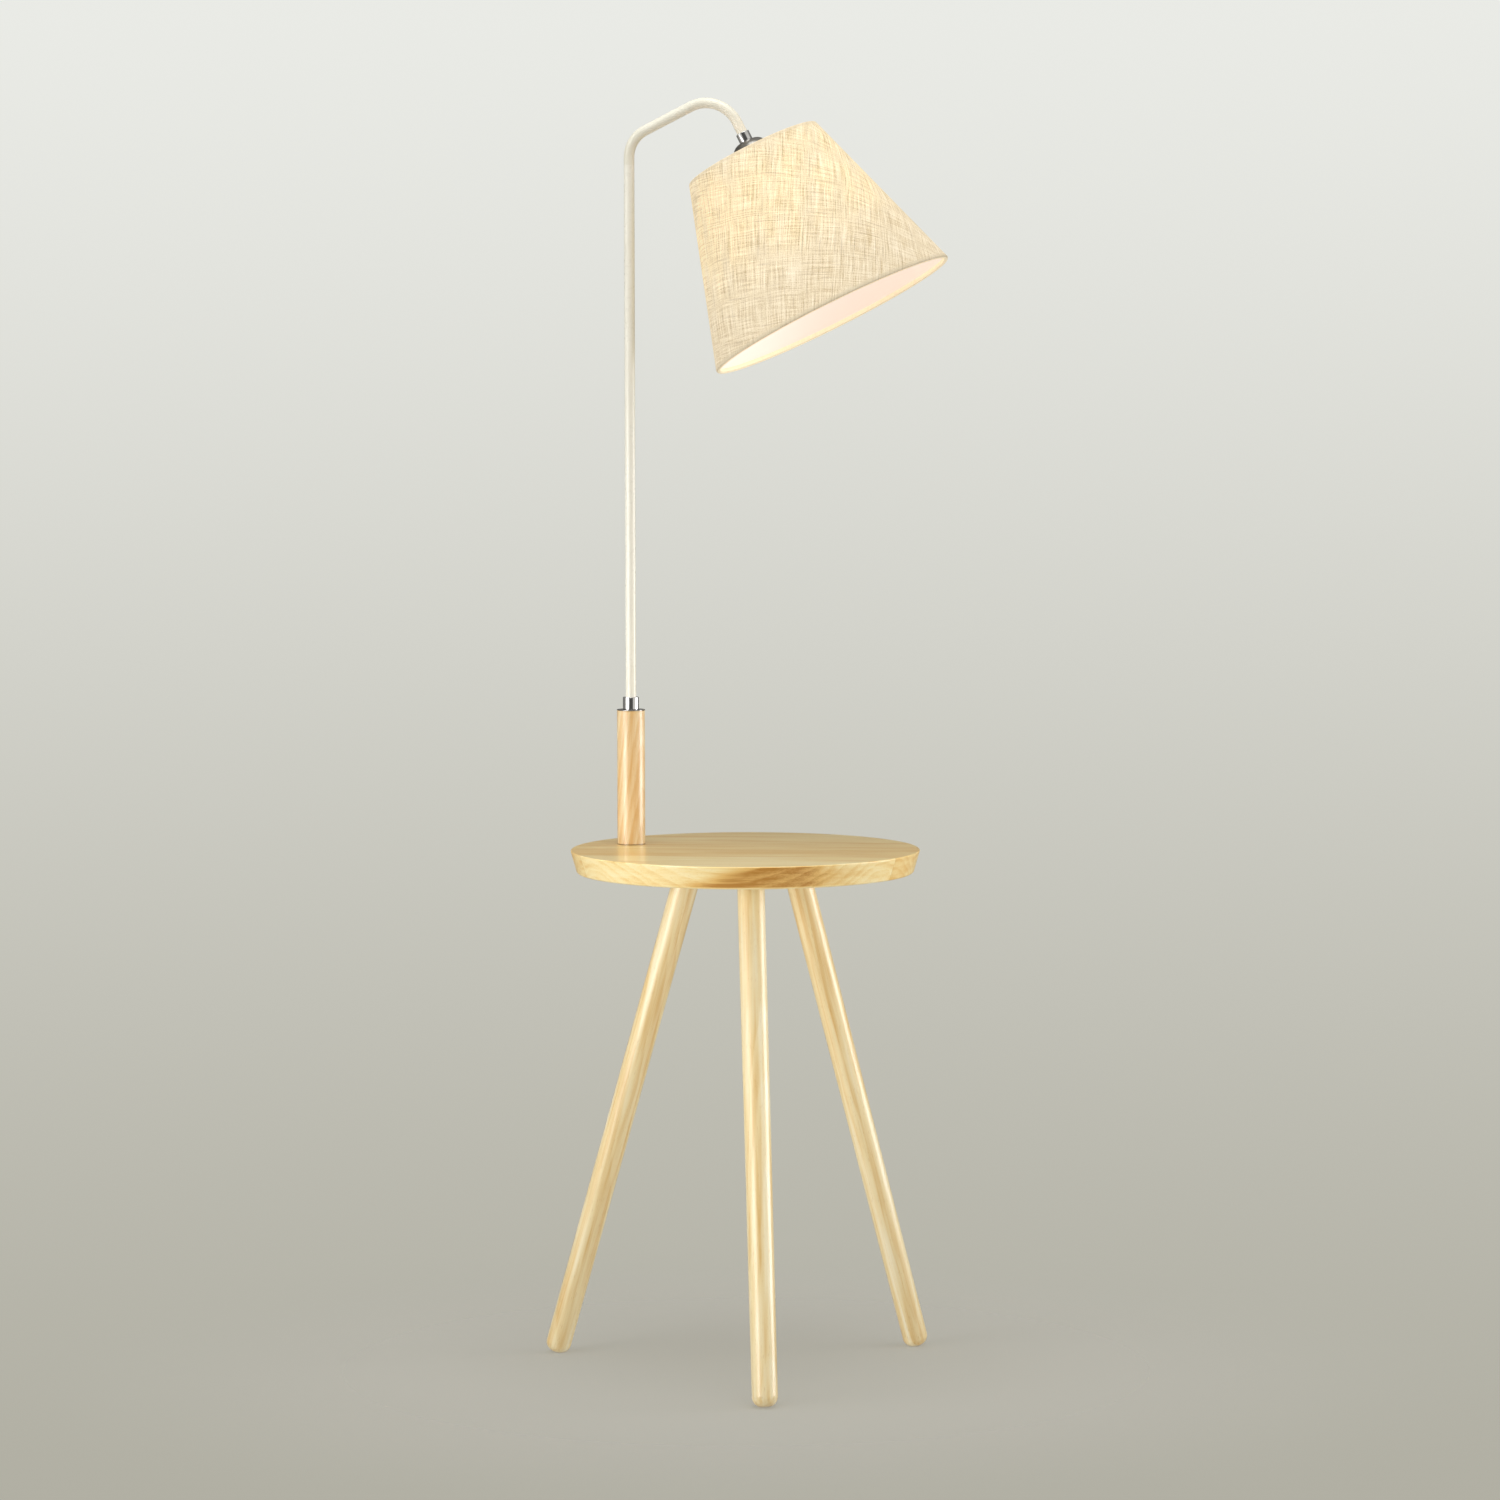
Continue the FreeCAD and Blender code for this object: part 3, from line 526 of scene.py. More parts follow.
@dataclass(frozen=True, eq=False)
class Metal(Finish):
    """Bare or plated metal with turning lines round an axis and faint smudges."""

    frame: Matrix
    colour: Colour = tone(214, 214, 214)
    worn: Colour = tone(196, 196, 194)
    roughness: float = 0.06
    smudge: float = 0.05
    turned: float = 0.05  # relief of the turning lines, in tenths of a millimetre

    def draw(self, graph: Graph) -> None:
        """Turning lines along the axis, smudges all over.

        Args:
            graph: The tree that is drawn.
        """
        point = graph.seen_from(self.frame, 1 / MM)
        x, y, z = graph.split(point)
        cloud = graph.noise(point, 0.14, 3.0, 0.6)
        lines = graph.drawn_out((graph.distance(x, y), 0.0, z), (5.0, 0.0, 5.0), 2.0, 0.7)
        patch = graph.rise(cloud, 0.45, 0.75)
        colour = graph.mix(patch * 0.7, self.colour, self.worn)
        rough = self.roughness + patch * self.smudge + (lines - 0.5) * self.smudge
        relief = graph.bump(lines, self.turned * 0.1 * MM, 0.4)
        varying = {"Base Color": colour, "Roughness": rough, "Normal": relief}
        graph.surface(varying, {"Metallic": 1.0})


def zinc(name: str, frame: Matrix) -> Metal:
    """Zinc-plated steel, turned about a frame's Z axis."""
    return Metal(name, frame, tone(190, 192, 192), tone(160, 160, 158), 0.32, 0.12, 0.2)


def brass(name: str, frame: Matrix) -> Metal:
    """Brass, turned about a frame's Z axis."""
    return Metal(name, frame, tone(206, 170, 98), tone(170, 132, 70), 0.24, 0.1, 0.1)


@dataclass(frozen=True, eq=False)
class Moulded(Finish):
    """Paint or plastic: an even colour with a little clouding, orange peel and dulled spots."""

    colour: Colour
    shade: Colour
    roughness: float = 0.3
    peel: float = 0.02  # relief in millimetres
    peel_waves: float = 260.0  # per metre
    coat: float = 0.0

    def draw(self, graph: Graph) -> None:
        """Clouds in the colour, orange peel in the relief.

        Args:
            graph: The tree that is drawn.
        """
        place = graph.place()
        cloud = graph.noise(place, 22.0, 3.0, 0.6)
        grain = graph.noise(place, self.peel_waves)
        dull = graph.rise(cloud, 0.5, 0.8)
        colour = graph.mix(graph.rise(cloud, 0.3, 0.8) * 0.6, self.colour, self.shade)
        rough = self.roughness + dull * 0.1 + (grain - 0.5) * 0.06
        relief = graph.bump(grain, self.peel * MM, 0.6)
        varying = {"Base Color": colour, "Roughness": rough, "Normal": relief}
        graph.surface(varying, {"Coat Weight": self.coat, "Coat Roughness": 0.12})


@dataclass(frozen=True, eq=False)
class ShadeCone:
    """The shade's wall as a cone about the head's axis, and the bulb that lights it; metres."""

    frame: Matrix
    top_radius: float
    bottom_radius: float
    top_drop: float
    height: float
    bulb_drop: float

    @property
    def slope(self) -> float:
        """Angle between the wall and the axis, in radians."""
        return math.atan2(self.bottom_radius - self.top_radius, self.height)

    @property
    def wall_length(self) -> float:
        """Length of the wall along its slope."""
        return self.height / math.cos(self.slope)

    @property
    def apex_drop(self) -> float:
        """Where the cone would close, above the head."""
        return self.top_drop - self.top_radius / math.tan(self.slope)

    def on_wall(self, along: float, inset: float = 0.0) -> tuple[float, float]:
        """A point of the wall.

        Args:
            along: Distance from the upper rim down the slope.
            inset: Distance in from the outside.

        Returns:
            Its radius and its drop.
        """
        radius = self.top_radius + along * math.sin(self.slope) - inset * math.cos(self.slope)
        return radius, self.top_drop + along * math.cos(self.slope) + inset * math.sin(self.slope)

    def glow(self, graph: Graph, radius: Socket, drop: Socket) -> Socket:
        """Light of the bulb that reaches a point of the wall, 1 at the bulb's own height.

        Args:
            graph: The tree that is drawn.
            radius: Distance from the axis, in metres.
            drop: Drop along the axis, in metres.

        Returns:
            The share of light.
        """
        level = drop - self.bulb_drop
        beside = self.top_radius + (self.bulb_drop - self.top_drop) * math.tan(self.slope)
        facing = radius * math.cos(self.slope) - level * math.sin(self.slope)
        far = graph.distance(radius, level)
        return facing / (far * far * far) * (beside * beside / math.cos(self.slope))


@dataclass(frozen=True, eq=False)
class Linen(Finish):
    """Natural slubby linen on a flat-cut cone, lit through from inside."""

    cone: ShadeCone
    panel_middle: float  # radians about the axis; threads run down the wall there
    hem: float = 5.5 * MM
    bulb_light: float = 0.16  # light of the bulb itself, through the wall beside it
    room_light: float = 0.165  # light that has gone round inside the shade
    lap_light: float = 0.1  # more of it on the inner side

    warm: Colour = tone(255, 230, 174)
    soft: Colour = tone(255, 242, 216)
    bright: Colour = tone(230, 219, 200)
    flax: Colour = tone(211, 195, 165)
    tan: Colour = tone(192, 168, 125)
    slub: Colour = tone(161, 129, 82)
    # paler colour of the linen's inner side: painted light, as where the bulb lights the lap
    lap: Colour = tone(252, 238, 204)

    weave: float = 1.1  # millimetres along a thread from one raised crossing to the next
    wander: float = 5.0  # how far a thread wanders aside
    wander_waves: Waves = (0.02, 0.01, 0.0)
    yarn_waves: Waves = (0.75, 0.022, 0.0)
    thick_waves: Waves = (0.5, 0.018, 0.0)
    dark_waves: Waves = (1.0, 0.024, 0.0)
    patch_waves: Waves = (0.04, 0.016, 0.0)
    relief: float = 0.5 * MM

    def laid_flat(self, graph: Graph, x: Socket, y: Socket, drop: Socket) -> tuple[Socket, Socket]:
        """Where a point of the cone lies on the flat cloth, in millimetres across and along it.

        Args:
            graph: The tree that is drawn.
            x: First of its parts across the axis.
            y: Second of them.
            drop: Its drop along the axis.

        Returns:
            The two distances.
        """
        down = (drop - self.cone.apex_drop) / (math.cos(self.cone.slope) * MM)
        angle = graph.math("ARCTAN2", y, x) * math.sin(self.cone.slope)
        return graph.math("SINE", angle) * down, graph.math("COSINE", angle) * down

    def threads(self, graph: Graph, across: Socket, along: Socket, salt: float) -> tuple[Socket, Socket]:
        """One set of threads.

        Args:
            graph: The tree that is drawn.
            across: Millimetres across the threads.
            along: Millimetres along them.
            salt: Shifts the pattern.

        Returns:
            The threads' own light and dark, about one half, and the thick dark slubs, 0 to 1.
        """
        aside = graph.drawn_out((along, across, 0.0), self.wander_waves, 1.0, salt=salt)
        parts = (across + (aside - 0.5) * self.wander, along, 0.0)
        yarn = graph.drawn_out(parts, self.yarn_waves, 3.0, 0.65, salt)
        thick = graph.rise(graph.drawn_out(parts, self.thick_waves, 2.0, salt=salt + 31), 0.6, 0.72)
        dark = graph.rise(graph.drawn_out(parts, self.dark_waves, 1.0, salt=salt + 57), 0.68, 0.76)
        return yarn, graph.math("MAXIMUM", thick, dark * 1.3)

    def hem_share(self, graph: Graph, drop: Socket) -> Socket:
        """1 on the two hems, 0 on the wall between them.

        Args:
            graph: The tree that is drawn.
            drop: Drop along the axis.

        Returns:
            The share.
        """
        upper = self.cone.top_drop + self.hem
        lower = self.cone.top_drop + self.cone.height - self.hem
        return graph.rise(drop, upper, upper - 2 * MM) + graph.rise(drop, lower, lower + 2 * MM)

    def inner_share(self, graph: Graph, radius: Socket, drop: Socket) -> Socket:
        """1 on the inner side, 0 on the outer."""
        wall = (drop - self.cone.apex_drop) * math.tan(self.cone.slope)
        return graph.rise(wall - radius, 1.2 * MM, 2.2 * MM)

    def draw(self, graph: Graph) -> None:
        """Two sets of threads, a fine weave, and the bulb's light through them.

        Args:
            graph: The tree that is drawn.
        """
        x, y, drop = graph.split(graph.seen_from(self.cone.frame @ turn(self.panel_middle, "Z")))
        radius = graph.distance(x, y)
        across, along = self.laid_flat(graph, x, y, drop)
        hem = self.hem_share(graph, drop)
        inside = self.inner_share(graph, radius, drop)
        warp, warp_slub = self.threads(graph, across, along, 3.0)
        weft, weft_slub = self.threads(graph, along, across, 71.0)
        slub = graph.math("MAXIMUM", warp_slub, weft_slub * 0.8)
        beat = FULL_TURN / self.weave
        crossing = graph.math("SINE", across * beat) * graph.math("SINE", along * beat)
        fine = graph.noise(graph.join(across, along, 0.0), 0.75, 3.0, 0.8)
        patch = graph.drawn_out((across, along, 0.0), self.patch_waves, 2.0, salt=5.0)
        cloth = (warp - 0.5) * 1.05 + (weft - 0.5) * 0.75 + (fine - 0.5) * 0.85 + 0.53
        cloth = 0.55 + (cloth - 0.55) * (1 - hem * 0.55)
        stops = [(0.15, self.slub), (0.36, self.tan), (0.52, self.flax), (0.8, self.bright)]
        colour = graph.mix(slub * (0.36 - hem * 0.2), graph.ramp(cloth, stops), self.slub)
        # the inner side painted paler, as painted light from the bulb
        colour = graph.mix(inside * 0.7, colour, self.lap)
        near = self.cone.glow(graph, radius, drop) * (patch * 1.6 + 0.2)
        thin = (graph.rise(cloth, 0.15, 0.85) * 0.7 + 0.6) * (1 - slub * 0.35) * (1 - hem * 0.4)
        light = (near * self.bulb_light + self.room_light) * thin + inside * self.lap_light
        lit = graph.shine(graph.mix(graph.rise(near, 0.2, 1.3), self.soft, self.warm), light)
        relief = graph.bump(crossing * 0.2 + warp * 0.5 + weft * 0.4 - slub * 0.2, self.relief, 0.6)
        varying = {"Base Color": colour, "Emission Color": lit, "Normal": relief}
        graph.surface(varying, {"Roughness": 0.85, "Emission Strength": 1.0, "Specular IOR Level": 0.25})


@dataclass(frozen=True, eq=False)
class Liner(Finish):
    """White plastic liner of the shade, lit by the bulb, with a faint print of the cloth behind it."""

    cone: ShadeCone
    bulb_light: float = 0.09
    room_light: float = 0.25
    relief: float = 0.05 * MM
    white: Colour = tone(238, 229, 222)
    warm: Colour = tone(250, 228, 216)

    def draw(self, graph: Graph) -> None:
        """A smooth white, brighter by the bulb.

        Args:
            graph: The tree that is drawn.
        """
        point = graph.seen_from(self.cone.frame)
        x, y, drop = graph.split(point)
        print_through = graph.noise(graph.scaled(point, 1 / MM), 0.5, 3.0, 0.7)
        colour = graph.mix((print_through - 0.3) * 0.4, self.white, self.warm)
        light = self.cone.glow(graph, graph.distance(x, y), drop) * self.bulb_light + self.room_light
        lit = graph.shine(self.warm, light)
        relief = graph.bump(print_through, self.relief, 0.5)
        varying = {"Base Color": colour, "Emission Color": lit, "Normal": relief}
        graph.surface(varying, {"Roughness": 0.55, "Emission Strength": 1.0})


@dataclass(frozen=True, eq=False)
class Opal(Finish):
    """Opal glass of the lit bulb, a little dimmer towards its neck."""

    cone: ShadeCone
    strength: float = 2.5
    hot: Colour = tone(255, 245, 228)
    dim: Colour = tone(255, 206, 140)
    neck_glass: Colour = tone(240, 236, 226)
    glass: Colour = tone(250, 248, 242)

    def draw(self, graph: Graph) -> None:
        """A warm glow that falls off up the neck.

        Args:
            graph: The tree that is drawn.
        """
        _, _, drop = graph.split(graph.seen_from(self.cone.frame))
        share = graph.rise(drop, self.cone.bulb_drop - 50 * MM, self.cone.bulb_drop - 10 * MM)
        cloud = graph.noise(graph.place(), 60.0, 2.0)
        lit = graph.mix(share * (cloud * 0.1 + 0.9), self.dim, self.hot)
        glass = graph.mix(share, self.neck_glass, self.glass)
        varying = {"Base Color": glass, "Emission Color": lit}
        graph.surface(varying, {"Roughness": 0.12, "Emission Strength": self.strength})


# ---- Modelling ---------------------------------------------------------------------------------


def clear_selection() -> None:
    """Leaves edit mode and deselects everything."""
    active = bpy.context.object
    if active is not None and active.mode != "OBJECT":
        bpy.ops.object.mode_set(mode="OBJECT")
    bpy.ops.object.select_all(action="DESELECT")


def pick(piece: bpy.types.Object) -> None:
    """Makes a piece the only one selected.

    Args:
        piece: The piece.
    """
    clear_selection()
    piece.select_set(True)
    bpy.context.view_layer.objects.active = piece


def edit(piece: bpy.types.Object) -> None:
    """Opens a piece in edit mode, with all of it selected.

    Args:
        piece: The piece.
    """
    pick(piece)
    bpy.ops.object.mode_set(mode="EDIT")
    bpy.ops.mesh.select_all(action="SELECT")


def select_edges(piece: bpy.types.Object, wanted: Callable[[Vector, Vector], bool]) -> None:
    """Selects the edges of the open piece whose two ends a test likes.

    Args:
        piece: The piece, open in edit mode.
        wanted: The test, given an edge's two ends.
    """
    bpy.ops.mesh.select_mode(type="EDGE")
    bpy.ops.mesh.select_all(action="DESELECT")
    mesh = bmesh.from_edit_mesh(piece.data)
    for edge in mesh.edges:
        if wanted(edge.verts[0].co, edge.verts[1].co):
            edge.select_set(True)
    mesh.select_flush_mode()
    bmesh.update_edit_mesh(piece.data)


def select_ring(piece: bpy.types.Object, *rings: tuple[float, float]) -> None:
    """Selects rings about the Z axis, each given by its radius and height.

    Args:
        piece: The piece, open in edit mode.
        *rings: Each ring's radius and height.
    """

    def on_ring(end: Vector, radius: float, height: float) -> bool:
        """True if a point lies on a ring."""
        return abs(end.z - height) < SAME_PLACE and abs(end.xy.length - radius) < SAME_PLACE

    def wanted(first: Vector, second: Vector) -> bool:
        """True if both ends lie on one of the rings."""
        return any(on_ring(first, *ring) and on_ring(second, *ring) for ring in rings)

    select_edges(piece, wanted)


def close_up(piece: bpy.types.Object) -> bpy.types.Object:
    """Merges doubles, turns the faces outwards and smooths the shading.

    Args:
        piece: The piece, in any mode.

    Returns:
        The same piece, in object mode.
    """
    edit(piece)
    bpy.ops.mesh.remove_doubles(threshold=SAME_PLACE)
    bpy.ops.mesh.normals_make_consistent(inside=False)
    pick(piece)
    bpy.ops.object.shade_smooth_by_angle(angle=SMOOTH_UNDER)
    return piece


def rename(piece: bpy.types.Object, name: str) -> bpy.types.Object:
    """Names a piece and its mesh.

    Args:
        piece: The piece.
        name: Its new name.

    Returns:
        The same piece.
    """
    piece.name = name
    piece.data.name = name
    return piece


def circle(name: str, radius: float, sides: int, filled: bool = False) -> bpy.types.Object:
    """A circle about the Z axis that a piece is drawn from.

    Args:
        name: The piece's name.
        radius: Its radius.
        sides: How many sides it has.
        filled: Whether it is a disc.

    Returns:
        The circle.
    """
    clear_selection()
    fill = "NGON" if filled else "NOTHING"
    bpy.ops.mesh.primitive_circle_add(vertices=sides, radius=radius, fill_type=fill)
    return rename(bpy.context.object, name)


def put(piece: bpy.types.Object, place: Matrix) -> bpy.types.Object:
    """Moves a piece to its place, and writes the place into its mesh.

    Args:
        piece: The piece.
        place: The move.

    Returns:
        The same piece.
    """
    piece.matrix_world = place @ piece.matrix_world
    pick(piece)
    bpy.ops.object.transform_apply(location=True, rotation=True, scale=True)
    return piece


def copy_of(piece: bpy.types.Object, name: str) -> bpy.types.Object:
    """A copy of a piece with its own mesh.

    Args:
        piece: The pattern.
        name: The copy's name.

    Returns:
        The copy.
    """
    pick(piece)
    bpy.ops.object.duplicate(linked=False)
    return rename(bpy.context.object, name)


def join(pieces: Sequence[bpy.types.Object]) -> bpy.types.Object:
    """Joins pieces into the first of them.

    Args:
        pieces: The pieces.

    Returns:
        The first, with the rest in it.
    """
    pick(pieces[0])
    for piece in pieces[1:]:
        piece.select_set(True)
    bpy.ops.object.join()
    return pieces[0]


def cut(piece: bpy.types.Object, *tools: bpy.types.Object) -> bpy.types.Object:
    """Cuts tools out of a piece, and takes the tools away.

    Args:
        piece: The piece.
        *tools: The cutters.

    Returns:
        The same piece.
    """
    for tool in tools:
        pick(piece)
        modifier = piece.modifiers.new("cut", "BOOLEAN")
        modifier.operation = "DIFFERENCE"
        modifier.solver = "EXACT"
        modifier.object = tool
        bpy.ops.object.modifier_apply(modifier=modifier.name)
        bpy.data.objects.remove(tool)
    return piece


@dataclass(frozen=True)
class Station:
    """A ring on a turned outline, and the radius of the rounding there, in metres."""

    radius: float
    height: float
    rounding: float = 0.0


@dataclass(frozen=True)
class Turning:
    """A shape turned about the Z axis: a circle that is drawn out along its outline."""

    name: str
    stations: Sequence[Station]
    sides: int = 96
    closed: bool = False  # the outline comes back to its start, as on a ring or a tube
    rounding_step: float = math.radians(9)

    def neighbours(self, number: int) -> tuple[Vector, Vector]:
        """The outline's directions from a station to the one before and the one after.

        Args:
            number: The station's number.

        Returns:
            The two directions; they lead to the axis at the ends of an open outline.
        """
        here = self.stations[number]
        count = len(self.stations)
        on_axis = Station(0.0, here.height)
        before = self.stations[number - 1] if self.closed or number > 0 else on_axis
        after = self.stations[(number + 1) % count] if self.closed or number + 1 < count else on_axis
        origin = Vector((here.radius, here.height))
        to_before = Vector((before.radius, before.height)) - origin
        return to_before, Vector((after.radius, after.height)) - origin

    def round_off(self, piece: bpy.types.Object) -> None:
        """Bevels each ring that has a rounding.

        Args:
            piece: The piece, open in edit mode.
        """
        for number, station in enumerate(self.stations):
            if station.rounding:
                before, after = self.neighbours(number)
                corner = before.angle(after)
                tangent = station.rounding / math.tan(corner / 2)
                steps = max(2, math.ceil((math.pi - corner) / self.rounding_step))
                select_ring(piece, (station.radius, station.height))
                bpy.ops.mesh.bevel(offset=tangent, segments=steps, affect="EDGES", clamp_overlap=False)

    def make(self) -> bpy.types.Object:
        """Models the shape.

        Returns:
            The finished piece, still about the Z axis.
        """
        here = first = self.stations[0]
        piece = put(circle(self.name, first.radius, self.sides), shift(0, 0, first.height))
        edit(piece)
        for station in self.stations[1:]:
            lift = (0, 0, station.height - here.height)
            bpy.ops.mesh.extrude_region_move(TRANSFORM_OT_translate={"value": lift})
            factor = station.radius / here.radius
            bpy.ops.transform.resize(value=(factor, factor, 1), center_override=(0, 0, station.height))
            here = station
        ends = ((first.radius, first.height), (here.radius, here.height))
        if self.closed:
            select_ring(piece, *ends)
            bpy.ops.mesh.bridge_edge_loops()
        else:
            for end in ends:
                select_ring(piece, end)
                bpy.ops.mesh.edge_face_add()
        self.round_off(piece)
        return close_up(piece)


def drill(name: str, diameter: float, low: float, high: float, sides: int = 48) -> bpy.types.Object:
    """A round cutter about the Z axis."""
    return Turning(name, (Station(diameter / 2, low), Station(diameter / 2, high)), sides).make()


def pipe(name: str, outer: float, inner: float, low: float, high: float, rounding: float) -> Turning:
    """A tube or ring about the Z axis.

    Args:
        name: The piece's name.
        outer: Outer diameter.
        inner: Inner diameter.
        low: Height of its lower end.
        high: Height of its upper end.
        rounding: Radius of its outer edges.

    Returns:
        The turning, ready to make.
    """
    outside = (Station(outer / 2, low, rounding), Station(outer / 2, high, rounding))
    inside = (Station(inner / 2, high), Station(inner / 2, low))
    return Turning(name, outside + inside, closed=True)


@dataclass(frozen=True)
class Bend:
    """A stretch that gives between two bodies."""

    before: Body
    after: Body
    start: Vector
    end: Vector


@dataclass
class Shop:
    """Dresses pieces, puts them on their bodies and reports them."""

    frame: Mapping[str, Any]
    made: list[bpy.types.Object] = field(default_factory=list)  # in the order in which they were reported

    def fit(self, piece: bpy.types.Object, body: Body, finish: Finish, slot: str, node: str) -> None:
        """Finishes a piece that rides on one body.

        Args:
            piece: The piece, at its place.
            body: The body it rides on.
            finish: Its material.
            slot: The record's material slot.
            node: The CAD node that it replaces.
        """
        finish.dress(piece)
        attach(piece, body.value)
        self.note(piece, slot, node)

    def fit_all(
        self, place: Matrix, body: Body, rows: Iterable[tuple[bpy.types.Object, Finish, str, str]]
    ) -> None:
        """Moves pieces to their place and finishes them on one body.

        Args:
            place: Where their own frame stands.
            body: The body they ride on.
            rows: Each piece with its material, its slot and the CAD node that it replaces.
        """
        for piece, finish, slot, node in rows:
            self.fit(put(piece, place), body, finish, slot, node)

    def span(self, piece: bpy.types.Object, bend: Bend, finish: Finish, slot: str, *nodes: str) -> None:
        """Finishes a piece at its place, without putting it on a body.

        Args:
            piece: The piece, at its place.
            bend: The bend that it goes round; not used.
            finish: Its material.
            slot: The record's material slot.
            *nodes: The CAD nodes that it replaces.
        """
        finish.dress(piece)
        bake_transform(piece)
        self.note(piece, slot, *nodes)

    def note(self, piece: bpy.types.Object, slot: str, *nodes: str) -> None:
        """Hides the CAD nodes that a piece replaces, and reports it.

        Args:
            piece: The piece.
            slot: The record's material slot; not used.
            *nodes: The CAD nodes that it replaces.
        """
        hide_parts(*nodes)
        self.made.append(piece)
        log.info("%s: %d faces, for %s", piece.name, len(piece.data.polygons), ", ".join(nodes))

    def finish_nodes(self, finish: Finish, *nodes: str) -> None:
        """Gives CAD nodes that keep their own shape a finish."""
        finish.dress(*(self.frame["nodes"][node] for node in nodes))
        log.info("%s on %s", finish.name, ", ".join(nodes))


# ---- Table -------------------------------------------------------------------------------------


# each leg's side, and where the pith passes its axis
LEG_SIDES = {"rear": (30.0, 18.0), "right": (-26.0, -22.0), "left": (24.0, -30.0)}


